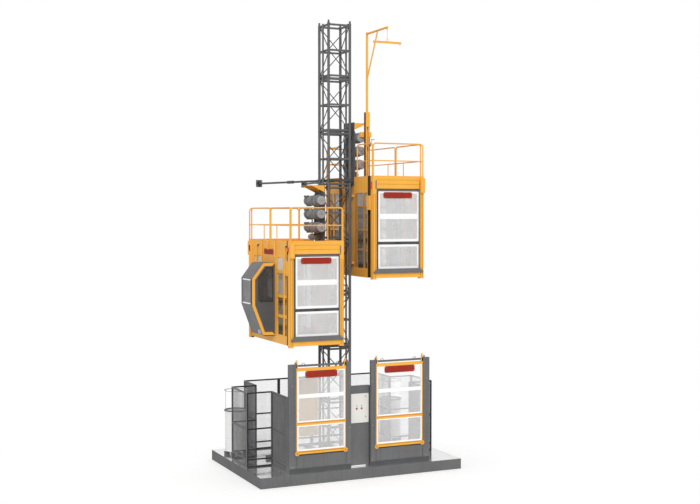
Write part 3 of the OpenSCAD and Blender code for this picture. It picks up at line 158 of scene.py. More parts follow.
def makePaintMottle(grain):
    # Slow drift of the paint's shade, rain streaks, fine speckle, and the spray's orange peel as a height
    group, given, made = openGroup("paintMottle", [
        ("Paint", "Color", (0.5, 0.5, 0.5, 1)),
        ("Shade", "Color", (0.4, 0.4, 0.4, 1)),
        ("Patch Scale", "Float", 1.0),
        ("Amount", "Float", 0.5),
        ("Gloss", "Float", 0.4),
    ], [("Paint", "Color"), ("Roughness", "Float"), ("Height", "Float")])
    place = objectPlace(group)
    streaks = addNode(group, "ShaderNodeMapping", Vector=place, Scale=grain["rainStretch"]).outputs[0]
    patches = noise(group, place, given["Patch Scale"], grain["driftDetail"])
    streak = noise(group, streaks, grain["rainScale"], grain["rainDetail"])
    speckle = noise(group, place, grain["speckleScale"], grain["speckleDetail"])
    peel = noise(group, place, grain["peelScale"], grain["peelDetail"])
    drift = doMath(group, "MULTIPLY", rise(group, patches, *grain["drift"]), grain["driftShare"])
    tone = doMath(group, "MULTIPLY_ADD", rise(group, streak, *grain["rain"]), grain["rainShare"], drift)
    tone = doMath(group, "MULTIPLY", tone, given["Amount"], clamp=True)
    rough = doMath(group, "MULTIPLY_ADD", tone, grain["shadeRough"], given["Gloss"])
    feedNode(group, made,
        Paint=blendColors(group, tone, given["Paint"], given["Shade"]),
        Roughness=doMath(group, "MULTIPLY_ADD", speckle, grain["speckleRough"], rough),
        Height=doMath(group, "MULTIPLY_ADD", peel, grain["peelShare"], speckle))
    return group


wearGrain = {"samples": 3, "edge": (0.02, 0.16), "chipScale": 38.0, "chipDetail": 6.0, "chipRough": 0.7,
    "chips": (0.47, 0.62)}


def makeEdgeWear(grain):
    # Bare edges: where a rounded normal leaves the face's own, broken up by noise
    group, given, made = openGroup("edgeWear", [("Reach", "Float", 0.006), ("Amount", "Float", 0.6)],
        [("Mask", "Float")])
    rounded = addNode(group, "ShaderNodeBevel", {"samples": grain["samples"]}, Radius=given["Reach"]).outputs[0]
    alike = addNode(group, "ShaderNodeVectorMath", {"operation": "DOT_PRODUCT"}, pin0=rounded,
        pin1=faceWay(group, "True Normal")).outputs["Value"]
    edge = doMath(group, "SUBTRACT", 1.0, alike, clamp=True)
    chips = noise(group, objectPlace(group), grain["chipScale"], grain["chipDetail"],
        Roughness=grain["chipRough"])
    edge = doMath(group, "MULTIPLY", rise(group, edge, *grain["edge"]), rise(group, chips, *grain["chips"]))
    feedNode(group, made, Mask=doMath(group, "MULTIPLY", edge, given["Amount"], clamp=True))
    return group


dustGrain = {"facing": (0.35, 0.95), "cloudScale": 5.0, "cloudDetail": 6.0, "cloud": (0.3, 0.75),
    "splash": (0.5, 1.5), "splashShare": 0.35}


def makeSettledDust(grain):
    # Dust lies on faces that look up, and splashes climb from the ground
    group, given, made = openGroup("settledDust", [("Amount", "Float", 0.4), ("Splash Height", "Float", 0.6)],
        [("Mask", "Float")])
    place = objectPlace(group)
    up = axesOf(group, faceWay(group))["Z"]
    cloud = noise(group, place, grain["cloudScale"], grain["cloudDetail"])
    lying = doMath(group, "MULTIPLY", rise(group, up, *grain["facing"]), rise(group, cloud, *grain["cloud"]))
    low = doMath(group, "DIVIDE", axesOf(group, place)["Z"], given["Splash Height"])
    low = doMath(group, "ADD", low, cloud)
    splash = doMath(group, "MULTIPLY", fall(group, low, *grain["splash"]), grain["splashShare"])
    dust = doMath(group, "MAXIMUM", lying, splash)
    feedNode(group, made, Mask=doMath(group, "MULTIPLY", dust, given["Amount"], clamp=True))
    return group


paintMottle = makePaintMottle(mottleGrain)
edgeWear = makeEdgeWear(wearGrain)
settledDust = makeSettledDust(dustGrain)


def openFinish(name, **settings):
    finish = bpy.data.materials.new(name)
    finish.use_nodes = True
    tree = finish.node_tree
    tree.nodes.clear()
    shader = addNode(tree, "ShaderNodeBsdfPrincipled", **settings)
    addNode(tree, "ShaderNodeOutputMaterial", Surface=shader.outputs[0])
    return finish, tree, shader


def mottleOf(tree, look):
    return useGroup(tree, paintMottle, Paint=(*look["paint"], 1), Shade=(*look["shade"], 1),
        Patch_Scale=look["patch"], Amount=look["amount"], Gloss=look["gloss"]).outputs


def wornEdges(tree, look):
    return useGroup(tree, edgeWear, Reach=look["wearReach"], Amount=look["wear"]).outputs["Mask"]


def dustOn(tree, look):
    return useGroup(tree, settledDust, Amount=look["dust"], Splash_Height=look["splash"]).outputs["Mask"]


def giveBump(tree, shader, height, strength, depth):
    bump = addNode(tree, "ShaderNodeBump", Strength=strength, Distance=depth, Height=height)
    feedNode(tree, shader, Normal=bump.outputs[0])


# Paints: what a row doesn't give comes from paintBase. Patch is the scale of the shade's patches, gloss the
# roughness, bare the metal's colour at worn edges, splash how high dirt climbs in metres
paintBase = {
    "patch": 2.0, "amount": 0.6, "gloss": 0.5, "coat": 0.0, "coatRough": 0.25, "specular": 0.22,
    "bare": (0.4, 0.4, 0.4), "wear": 0.5, "wearReach": 0.005, "wornMetal": 0.7,
    "dust": 0.1, "splash": 0.7, "dustColor": (0.52, 0.49, 0.44), "dustRough": 0.4,
    "bump": 0.12, "bumpDepth": 0.001,
}
shadedBare = {"bare": (0.3, 0.27, 0.24)}
paints = {
    "hoistYellow": {"paint": (0.93, 0.46, 0.066), "shade": (0.83, 0.37, 0.04), "patch": 1.1, "amount": 0.55,
        "gloss": 0.36, **shadedBare, "wear": 0.55, "dust": 0.22, "coat": 0.05},
    "postGrey": {"paint": (0.155, 0.157, 0.16), "shade": (0.115, 0.117, 0.12), "patch": 0.9, "amount": 0.7,
        "bare": (0.42, 0.41, 0.40), "dust": 0.3},
    "mastGrey": {"paint": (0.135, 0.137, 0.14), "shade": (0.095, 0.097, 0.101), "patch": 1.3, "amount": 0.7,
        "bare": (0.30, 0.29, 0.28), "wear": 0.45, "dust": 0.2},
    "headerGrey": {"paint": (0.155, 0.158, 0.162), "shade": (0.12, 0.123, 0.127), "gloss": 0.45, "dust": 0.15,
        "coat": 0.1},
    "bandDark": {"paint": (0.075, 0.078, 0.082), "shade": (0.055, 0.057, 0.06), "gloss": 0.45, "coat": 0.1},
    # painted shade: darker yellows where folds, grooves, lips and faces of the jib's guide lie in shade
    "shadeYellow": {"paint": (0.66, 0.29, 0.025), "shade": (0.58, 0.24, 0.02), "amount": 0.5, "gloss": 0.45,
        **shadedBare, "wear": 0.3},
    "foldShade": {"paint": (0.42, 0.19, 0.028), "shade": (0.33, 0.14, 0.02), **shadedBare, "wear": 0.1},
    "guideShade": {"paint": (0.22, 0.098, 0.0125), "shade": (0.17, 0.075, 0.010), "amount": 0.5, **shadedBare,
        "wear": 0.1},
    "cabSkinGrey": {"paint": (0.128, 0.130, 0.133), "shade": (0.104, 0.106, 0.109), "patch": 1.6, "gloss": 0.42,
        "bare": (0.45, 0.45, 0.45), "wear": 0.4, "dust": 0.15, "coat": 0.15},
    "cabSheetGrey": {"paint": (0.10, 0.102, 0.106), "shade": (0.07, 0.072, 0.075), "patch": 1.6, "gloss": 0.48,
        "wear": 0.3},
    "doorWhite": {"paint": (0.97, 0.97, 0.96), "shade": (0.90, 0.895, 0.875), "patch": 1.4, "amount": 0.4,
        "gloss": 0.35, "bare": (0.45, 0.45, 0.45), "wear": 0.35, "coat": 0.2},
    "cabinetCream": {"paint": (0.80, 0.785, 0.73), "shade": (0.70, 0.68, 0.61), "patch": 2.5, "amount": 0.4,
        "gloss": 0.38, "bare": (0.5, 0.5, 0.5), "wear": 0.3, "coat": 0.2},
    "plateGrey": {"paint": (0.115, 0.117, 0.125), "shade": (0.08, 0.082, 0.088), "patch": 1.8, "amount": 0.7,
        "dust": 0.2},
    "plateRed": {"paint": (0.34, 0.026, 0.012), "shade": (0.27, 0.019, 0.01), "patch": 6.0, "amount": 0.5,
        "bare": (0.5, 0.5, 0.5), "wear": 0.2, "dust": 0.0},
    "boardTan": {"paint": (0.82, 0.52, 0.18), "shade": (0.72, 0.44, 0.14), "patch": 2.2, "amount": 0.8,
        "gloss": 0.7, "bare": (0.62, 0.45, 0.28), "wear": 0.2, "dust": 0.15},
}


def paintFinish(name, row):
    look = {**paintBase, **row}
    finish, tree, shader = openFinish(name, Coat_Weight=look["coat"], Coat_Roughness=look["coatRough"],
        Specular_IOR_Level=look["specular"])
    mottle, worn, dusty = mottleOf(tree, look), wornEdges(tree, look), dustOn(tree, look)
    color = blendColors(tree, worn, mottle["Paint"], (*look["bare"], 1))
    feedNode(tree, shader,
        Base_Color=blendColors(tree, dusty, color, (*look["dustColor"], 1)),
        Roughness=doMath(tree, "MULTIPLY_ADD", dusty, look["dustRough"], mottle["Roughness"], clamp=True),
        Metallic=doMath(tree, "MULTIPLY", worn, look["wornMetal"]))
    giveBump(tree, shader, mottle["Height"], look["bump"], look["bumpDepth"])
    return finish


# Castings, bare metals, wires and cloth: what a row doesn't give comes from metalBase
metalBase = {
    "patch": 3.0, "amount": 0.9, "metal": 0.0, "gloss": 0.45, "grain": 60.0, "grainDetail": 4.0,
    "dust": 0.15, "splash": 0.5, "dustColor": (0.45, 0.43, 0.39), "bump": 0.1, "bumpDepth": 0.0015,
}
metals = {
    "driveCasting": {"paint": (0.27, 0.275, 0.28), "shade": (0.19, 0.195, 0.20), "metal": 0.25, "gloss": 0.5,
        "grain": 90.0, "bump": 0.35},
    "driveDark": {"paint": (0.055, 0.057, 0.06), "shade": (0.03, 0.032, 0.034), "metal": 0.3, "gloss": 0.5,
        "grain": 90.0, "bump": 0.35},
    "discGrey": {"paint": (0.42, 0.425, 0.43), "shade": (0.33, 0.335, 0.34), "metal": 0.3, "gloss": 0.42,
        "bump": 0.2},
    "rackSteel": {"paint": (0.19, 0.188, 0.184), "shade": (0.11, 0.107, 0.102), "metal": 0.55, "gloss": 0.38,
        "grain": 45.0, "bump": 0.25},
    "gearSteel": {"paint": (0.40, 0.40, 0.41), "shade": (0.20, 0.18, 0.15), "metal": 0.95, "gloss": 0.3,
        "grain": 120.0, "bump": 0.15},
    "springSteel": {"paint": (0.06, 0.062, 0.066), "shade": (0.035, 0.035, 0.038), "metal": 0.5, "gloss": 0.4,
        "grain": 80.0, "bump": 0.2},
    "weightIron": {"paint": (0.035, 0.034, 0.033), "shade": (0.06, 0.04, 0.028), "metal": 0.3, "gloss": 0.65,
        "grain": 50.0, "bump": 0.5},
    "boltSteel": {"paint": (0.50, 0.50, 0.51), "shade": (0.36, 0.35, 0.33), "metal": 0.9, "gloss": 0.35,
        "grain": 200.0},
    "rubberBlack": {"paint": (0.02, 0.02, 0.021), "shade": (0.035, 0.034, 0.033), "gloss": 0.7, "grain": 140.0,
        "bump": 0.3},
    "doorWire": {"paint": (0.80, 0.802, 0.805), "shade": (0.72, 0.722, 0.725)},
    "gateWire": {"paint": (0.96, 0.962, 0.965), "shade": (0.91, 0.912, 0.915)},
    # painted shade: the side walls' wire darkened where the walls lie in shade, near black where the dark
    # inside shows through
    "wallWire": {"paint": (0.36, 0.363, 0.37), "shade": (0.28, 0.283, 0.29), "metal": 0.1},
    "wallDark": {"paint": (0.09, 0.088, 0.085), "shade": (0.065, 0.063, 0.06), "metal": 0.1, "gloss": 0.5},
    "fenceWire": {"paint": (0.19, 0.192, 0.195), "shade": (0.15, 0.152, 0.155), "metal": 0.1, "gloss": 0.5},
    "seatCloth": {"paint": (0.03, 0.032, 0.036), "shade": (0.05, 0.052, 0.056), "gloss": 0.85, "grain": 300.0,
        "bump": 0.5},
}


def metalFinish(name, row):
    look = {**metalBase, **row}
    finish, tree, shader = openFinish(name, Metallic=look["metal"])
    mottle = mottleOf(tree, look)
    feedNode(tree, shader,
        Base_Color=blendColors(tree, dustOn(tree, look), mottle["Paint"], (*look["dustColor"], 1)),
        Roughness=mottle["Roughness"])
    grain = noise(tree, objectPlace(tree), look["grain"], look["grainDetail"])
    giveBump(tree, shader, grain, look["bump"], look["bumpDepth"])
    return finish


# Lamps and buttons: colour and glow
lampBase = {"patch": 40.0, "amount": 0.5, "gloss": 0.2, "coat": 0.6, "darker": 0.7, "bump": 0.05,
    "bumpDepth": 0.001}
lamps = {
    "lampRed": {"paint": (0.62, 0.03, 0.02), "glow": 0.05},
    "lampGreen": {"paint": (0.10, 0.55, 0.10), "glow": 0.2},
    "stopRed": {"paint": (0.58, 0.025, 0.02), "glow": 0.0},
}


def lampFinish(name, row):
    look = {**lampBase, **row, "shade": [lampBase["darker"] * part for part in row["paint"]]}
    finish, tree, shader = openFinish(name, Coat_Weight=look["coat"], Emission_Strength=look["glow"])
    mottle = mottleOf(tree, look)
    feedNode(tree, shader, Base_Color=mottle["Paint"], Emission_Color=mottle["Paint"],
        Roughness=mottle["Roughness"])
    giveBump(tree, shader, mottle["Height"], look["bump"], look["bumpDepth"])
    return finish


cabGlassLook = {"paint": (0.22, 0.225, 0.235), "shade": (0.17, 0.175, 0.185), "patch": 3.0, "amount": 0.6,
    "gloss": 0.03, "clear": 0.75, "ior": 1.45}


def cabGlassFinish(look):
    finish, tree, shader = openFinish("cabGlass", Transmission_Weight=look["clear"], IOR=look["ior"],
        Metallic=0.0)
    mottle = mottleOf(tree, look)
    feedNode(tree, shader, Base_Color=mottle["Paint"], Roughness=mottle["Roughness"])
    return finish


chequerLook = {"paint": (0.34, 0.345, 0.35), "shade": (0.24, 0.24, 0.235), "patch": 1.5, "amount": 0.9,
    "gloss": 0.45, "metal": 0.4, "barTurn": 45, "barScale": 22.0, "barShift": 0.5, "barGap": 0.03,
    "barSoft": 0.4, "bump": 0.5, "bumpDepth": 0.002}


def chequerFinish(look):
    # Raised bars that cross on the plate's top
    finish, tree, shader = openFinish("chequerPlate", Metallic=look["metal"])
    mottle = mottleOf(tree, look)
    turned = addNode(tree, "ShaderNodeMapping", Vector=objectPlace(tree),
        Rotation=(0, 0, math.radians(look["barTurn"])))
    bars = addNode(tree, "ShaderNodeTexBrick", {"offset": look["barShift"]}, Vector=turned.outputs[0],
        Scale=look["barScale"], Mortar_Size=look["barGap"], Mortar_Smooth=look["barSoft"])
    feedNode(tree, shader, Base_Color=mottle["Paint"], Roughness=mottle["Roughness"])
    giveBump(tree, shader, bars.outputs["Fac"], look["bump"], look["bumpDepth"])
    return finish


slabLook = {
    "top": {"paint": (0.80, 0.80, 0.80), "shade": (0.72, 0.72, 0.715), "patch": 0.8, "amount": 0.6,
        "gloss": 0.05},
    "side": {"paint": (0.155, 0.155, 0.157), "shade": (0.125, 0.125, 0.125), "patch": 1.2, "amount": 0.8,
        "gloss": 0.7},
    "facing": (0.4, 0.8), "topMetal": 0.85, "specular": 0.25,
    "wear": 0.4, "wearReach": 0.01, "bare": (0.4, 0.39, 0.38),
    "gritScale": 70.0, "gritDetail": 8.0, "pitScale": 45.0, "pits": (0.05, 0.2), "pitShare": 0.5,
    "bump": 0.03, "bumpDepth": 0.003,
}


def slabFinish(look):
    # Polished pale top that mirrors what stands on it, and dark painted sides
    finish, tree, shader = openFinish("slabConcrete", Specular_IOR_Level=look["specular"])
    top, side = mottleOf(tree, look["top"]), mottleOf(tree, look["side"])
    flat = rise(tree, axesOf(tree, faceWay(tree))["Z"], *look["facing"])
    color = blendColors(tree, flat, side["Paint"], top["Paint"])
    feedNode(tree, shader,
        Base_Color=blendColors(tree, wornEdges(tree, look), color, (*look["bare"], 1)),
        Roughness=blendColors(tree, flat, side["Roughness"], top["Roughness"]),
        Metallic=doMath(tree, "MULTIPLY", flat, look["topMetal"]))
    place = objectPlace(tree)
    pits = addNode(tree, "ShaderNodeTexVoronoi", Vector=place, Scale=look["pitScale"]).outputs["Distance"]
    height = doMath(tree, "MULTIPLY_ADD", rise(tree, pits, *look["pits"]), look["pitShare"],
        noise(tree, place, look["gritScale"], look["gritDetail"]))
    giveBump(tree, shader, height, look["bump"], look["bumpDepth"])
    return finish


drumLook = {
    "paint": (0.84, 0.84, 0.83), "shade": (0.74, 0.74, 0.72), "patch": 1.4, "amount": 0.6, "gloss": 0.4,
    "coat": 0.1, "dust": 0.4, "splash": 0.7, "dustColor": (0.5, 0.48, 0.44),
    "seamFoot": 0.38, "seamPitch": 0.195, "seam": (0.0, 0.012), "seamShare": 0.4,
    "seamColor": (0.55, 0.56, 0.57),
    "foot": ((0.376, 0.380), (0.06, 0.06, 0.063)),
    "guide": ((1.519, 1.523), (0.09, 0.092, 0.095)), "rim": ((1.551, 1.553), (0.45, 0.455, 0.46)),
    "bump": 0.4, "bumpDepth": 0.003, "seamBump": (0.0, 0.014),
}


def drumFinish(look):
    # White drum with seams, grey rim, dark feet and dark guide above it
    finish, tree, shader = openFinish("drumWhite", Coat_Weight=look["coat"])
    high = axesOf(tree, objectPlace(tree))["Z"]
    mottle = mottleOf(tree, look)
    seams = doMath(tree, "PINGPONG", doMath(tree, "SUBTRACT", high, look["seamFoot"]), look["seamPitch"])
    mask = doMath(tree, "MULTIPLY", fall(tree, seams, *look["seam"]), look["seamShare"])
    color = blendColors(tree, mask, mottle["Paint"], (*look["seamColor"], 1))
    for part, slope in (("guide", rise), ("rim", rise), ("foot", fall)):
        border, paint = look[part]
        color = blendColors(tree, slope(tree, high, *border), color, (*paint, 1))
    feedNode(tree, shader,
        Base_Color=blendColors(tree, dustOn(tree, look), color, (*look["dustColor"], 1)),
        Roughness=mottle["Roughness"])
    giveBump(tree, shader, rise(tree, seams, *look["seamBump"]), look["bump"], look["bumpDepth"])
    return finish


ropeLook = {"paint": (0.38, 0.38, 0.39), "shade": (0.22, 0.21, 0.2), "patch": 9.0, "amount": 0.8, "gloss": 0.4,
    "metal": 0.8, "strandScale": 90.0, "bump": 0.8, "bumpDepth": 0.001}


def ropeFinish(look):
    # Strands wound round the rope
    finish, tree, shader = openFinish("ropeSteel", Metallic=look["metal"])
    mottle = mottleOf(tree, look)
    strands = addNode(tree, "ShaderNodeTexWave", {"bands_direction": "DIAGONAL"}, Vector=objectPlace(tree),
        Scale=look["strandScale"])
    feedNode(tree, shader, Base_Color=mottle["Paint"], Roughness=mottle["Roughness"])
    giveBump(tree, shader, strands.outputs["Fac"], look["bump"], look["bumpDepth"])
    return finish


def paintOver(finish, mask, color):
    tree = finish.node_tree
    shader = next(node for node in tree.nodes if node.type == "BSDF_PRINCIPLED")
    painted = shader.inputs["Base Color"].links[0].from_socket
    feedNode(tree, shader, Base_Color=blendColors(tree, mask, painted, (*color, 1)))
    return finish


# Counterweight slots at the cages' corners: middle and half width of each, and the colour of the painted shade
# inside
slotShadeMarks = {"outer": (1.9155, 0.0382), "inner": (0.4685, 0.0382), "end": (1.3615, 0.0970),
    "color": (0.040, 0.022, 0.006)}


def frameFinish(marks):
    # The cages' yellow, with painted shade near black inside the counterweight slots
    finish = paintFinish("frameYellow", paints["hoistYellow"])
    tree = finish.node_tree
    place = axesOf(tree, objectPlace(tree))
    side = doMath(tree, "ABSOLUTE", place["X"])
    end = doMath(tree, "ABSOLUTE", doMath(tree, "SUBTRACT", place["Y"], cageMiddle))
    slot = doMath(tree, "MAXIMUM", doMath(tree, "COMPARE", side, *marks["outer"]),
        doMath(tree, "COMPARE", side, *marks["inner"]))
    slot = doMath(tree, "MULTIPLY", slot, doMath(tree, "COMPARE", end, *marks["end"]))
    return paintOver(finish, slot, marks["color"])


fenceShadeMarks = {"facing": (0.5, 0.9), "from": (-1.2, -1.0), "color": (0.028, 0.028, 0.029)}


def fenceFinish(marks):
    # The fence's frames, with painted shade near black on their front faces behind the gates
    finish = paintFinish("fenceGrey", paints["postGrey"])
    tree = finish.node_tree
    front = doMath(tree, "MULTIPLY", axesOf(tree, faceWay(tree, "True Normal"))["Y"], -1.0)
    behind = rise(tree, axesOf(tree, objectPlace(tree))["Y"], *marks["from"])
    mask = doMath(tree, "MULTIPLY", rise(tree, front, *marks["facing"]), behind)
    return paintOver(finish, mask, marks["color"])


finishes = {name: paintFinish(name, row) for name, row in paints.items()}
finishes.update({name: metalFinish(name, row) for name, row in metals.items()})
finishes.update({name: lampFinish(name, row) for name, row in lamps.items()})
finishes["frameYellow"] = frameFinish(slotShadeMarks)
finishes["fenceGrey"] = fenceFinish(fenceShadeMarks)
finishes["cabGlass"] = cabGlassFinish(cabGlassLook)
finishes["chequerPlate"] = chequerFinish(chequerLook)
finishes["slabConcrete"] = slabFinish(slabLook)
finishes["drumWhite"] = drumFinish(drumLook)
finishes["ropeSteel"] = ropeFinish(ropeLook)
print("finishes made:", len(finishes))


def onAxis(axis, along, spot):
    # Something at along on the x or y axis, and at spot's two values on the other axes
    return (along, *spot) if axis == "x" else (spot[0], along, spot[1])


# Mesh tools: each piece is drawn in metres and gets its looks by name
meshRules = {"rodSides": 12, "tubeSides": 10, "screwSides": 6, "crossDepth": 0.6,
    "softSteps": 2, "softAngle": 40}
blockFaces = ((0, 1, 3, 2), (4, 6, 7, 5), (0, 4, 5, 1), (2, 3, 7, 6), (0, 2, 6, 4), (1, 5, 7, 3))


class Piece:
    def __init__(self, name, *looks):
        self.name = name
        self.looks = looks
        self.mesh = bmesh.new()

    def skin(self, corners, faces, look):
        points = [self.mesh.verts.new(corner) for corner in corners]
        for face in faces:
            self.mesh.faces.new([points[k] for k in face]).material_index = self.looks.index(look)

    def block(self, x, y, z, look):
        corners = [(a, b, c) for a in sorted(x) for b in sorted(y) for c in sorted(z)]
        self.skin(corners, blockFaces, look)

    def plate(self, outline, axis, span, look):
        # An outline drawn across the axis, made solid between the two ends of span
        count = len(outline)
        corners = [onAxis(axis, end, corner) for end in span for corner in outline]
        faces = [tuple(range(count)), tuple(range(2 * count - 1, count - 1, -1))]
        faces += [(k, (k + 1) % count, count + (k + 1) % count, count + k) for k in range(count)]
        self.skin(corners, faces, look)

    def ring(self, outer, inner, axis, span, look, skip=()):
        # A flat band between two outlines with as many corners, without the sides in skip
        for k in range(len(outer)):
            if k not in skip:
                after = (k + 1) % len(outer)
                self.plate([outer[k], outer[after], inner[after], inner[k]], axis, span, look)

    def circle(self, centre, radius, across, beside, sides):
        turns = [2 * math.pi * k / sides for k in range(sides)]
        return [self.mesh.verts.new(centre + radius * (math.cos(turn) * across + math.sin(turn) * beside))
            for turn in turns]

    def wrap(self, circles, look):
        # Smooth skin from circle to circle, closed at both ends
        look = self.looks.index(look)
        for first, second in zip(circles, circles[1:]):
            for k in range(len(first)):
                after = (k + 1) % len(first)
                side = self.mesh.faces.new((first[k], first[after], second[after], second[k]))
                side.material_index = look
                side.smooth = True
        for cap in (circles[0], circles[-1][::-1]):
            self.mesh.faces.new(cap).material_index = look

    def rod(self, start, end, radius, look, sides=meshRules["rodSides"], tip=None):
        start, end = Vector(start), Vector(end)
        along = (end - start).normalized()
        across = along.orthogonal().normalized()
        beside = along.cross(across)
        ends = ((start, radius), (end, tip or radius))
        self.wrap([self.circle(centre, size, across, beside, sides) for centre, size in ends], look)

    def stud(self, axis, spot, span, radius, look, sides=meshRules["rodSides"], tip=None):
        # A rod along the x or y axis
        self.rod(onAxis(axis, span[0], spot), onAxis(axis, span[1], spot), radius, look, sides, tip)

    def screws(self, axis, across, heights, span, radius):
        for place in across:
            for height in heights:
                self.stud(axis, (place, height), span, radius, "boltSteel", meshRules["screwSides"])

    def tube(self, path, radius, look, sides=meshRules["tubeSides"]):
        # A bent tube through the path's points
        path = [Vector(point) for point in path]
        across = None
        circles = []
        for k, point in enumerate(path):
            along = (path[min(k + 1, len(path) - 1)] - path[max(k - 1, 0)]).normalized()
            across = along.orthogonal() if across is None else across - across.dot(along) * along
            across.normalize()
            circles.append(self.circle(point, radius, across, along.cross(across), sides))
        self.wrap(circles, look)

    def net(self, axis, at, u, v, wire, look):
        # Upright flat wires, and thinner ones across them
        for upright in (True, False):
            low, high = u if upright else v
            half = wire["upright" if upright else "across"] / 2
            deep = wire["depth"] / 2 * (1 if upright else meshRules["crossDepth"])
            count = max(1, round((high - low) / wire["pitch"]))
            for k in range(1, count):
                middle = low + (high - low) * k / count
                band = (middle - half, middle + half)
                self.block(*onAxis(axis, (at - deep, at + deep), (band, v) if upright else (u, band)), look)

    def finish(self, body, slot, spot=None, replaces=(), soften=0.0):
        bmesh.ops.transform(self.mesh, matrix=spot or Matrix.Identity(4), verts=self.mesh.verts)
        bmesh.ops.recalc_face_normals(self.mesh, faces=self.mesh.faces)
        mesh = bpy.data.meshes.new(self.name)
        self.mesh.to_mesh(mesh)
        self.mesh.free()
        piece = bpy.data.objects.new(self.name, mesh)
        scene.collection.objects.link(piece)
        for look in self.looks:
            mesh.materials.append(finishes[look])
        if soften:
            edge = piece.modifiers.new("softEdge", "BEVEL")
            edge.width = soften
            edge.segments = meshRules["softSteps"]
            edge.limit_method = "ANGLE"
            edge.angle_limit = math.radians(meshRules["softAngle"])
        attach(piece, body)
        if replaces:
            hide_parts(*replaces)


def cageSpot(side, rear=False):
    # From the right cage's own place, seen from its front, to either cage and either end
    back = Matrix.Translation((0, 2 * cageMiddle if rear else 0, cages[side]["foot"]))
    return back @ Matrix.Diagonal((cages[side]["sign"], -1 if rear else 1, 1, 1))


def toRear(values):
    return [2 * cageMiddle - y for y in values]


def insetOutline(outline, gap):
    # The outline drawn inside itself, gap from each side; corners run anticlockwise
    count = len(outline)
    sides = []
    for k in range(count):
        start, end = Vector(outline[k]), Vector(outline[(k + 1) % count])
        way = (end - start).normalized()
        sides.append((start + gap * Vector((-way.y, way.x)), way))
    inner = []
    for k in range(count):
        (a, da), (b, db) = sides[k - 1], sides[k]
        inner.append(tuple(a + (b - a).cross(db) / da.cross(db) * da))
    return inner


def grown(pair, by):
    return (pair[0] - by, pair[1] + by)


# Plain plates with cut corners, and a screw near each corner
plainPlate = {"cut": 0.03, "thick": 0.006, "screwIn": (0.04, 0.035), "screwOut": (0.005, 0.009),
    "screwRadius": 0.008, "screwSides": 8}


def addPlainPlate(piece, axis, at, u, v, out):
    # out is 1 or -1, towards the side of the wall that shows the plate
    look = plainPlate
    cut = look["cut"]
    outline = ((u[0] + cut, v[0]), (u[1] - cut, v[0]), (u[1], v[0] + cut), (u[1], v[1] - cut),
        (u[1] - cut, v[1]), (u[0] + cut, v[1]), (u[0], v[1] - cut), (u[0], v[0] + cut))
    piece.plate(outline, axis, sorted((at, at + out * look["thick"])), "plateRed")
    span = [at + out * far for far in look["screwOut"]]
    for a in grown(u, -look["screwIn"][0]):
        for b in grown(v, -look["screwIn"][1]):
            piece.stud(axis, (a, b), span, look["screwRadius"], "boltSteel", look["screwSides"])


# Cage doors: leaf in its frame, in the right cage's own place. Edges gives how wide the dark strip is, and
# where the stile ends, at the leaf's left and at its right as seen from the front. The wide strip at the left
# is painted shadow of the post, the thin one at the right a seal
doorLeaf = {
    "x": (0.550, 1.880), "y": (-1.540, -1.504), "edges": ((0.072, 0.120), (0.004, 0.050)),
    "white": ((0.290, 0.335), (0.890, 0.950), (1.030, 1.090), (1.650, 1.785), (2.350, 2.405)),
    "whiteStiles": ((0.290, 0.950), (1.030, 2.405)),
    "dark": (("headerGrey", (0.1663, 0.290)), ("bandDark", (0.950, 1.030)), ("headerGrey", (2.405, 2.474))),
    "darkProud": 0.001,
    "windows": ((0.335, 0.890), (1.090, 1.650), (1.785, 2.350)),
    "beadWide": 0.008, "beadDeep": 0.008,
    "bumper": ((0.462, 0.170), (1.968, 0.170), (1.968, 0.205), (1.880, 0.288), (0.550, 0.288), (0.462, 0.205)),
    "bumperY": (-1.632, -1.590), "bumperBack": ((0.575, 1.855), (-1.591, -1.540), (0.19, 0.27)),
    "shoes": (((0.537, 0.551), (1.879, 1.893)), (-1.537, -1.507), ((0.40, 0.52), (2.20, 2.32))),
    "handle": ((1.14, -1.541), (1.14, -1.566), (1.15, -1.578), (1.28, -1.578), (1.29, -1.566), (1.29, -1.541)),
    "handleHeight": 0.99, "handleRadius": 0.009,
    "redPlate": ((0.775, 1.655), (2.220, 2.385)),
    "wire": {"pitch": 0.025, "upright": 0.0125, "across": 0.0110, "depth": 0.003},
}


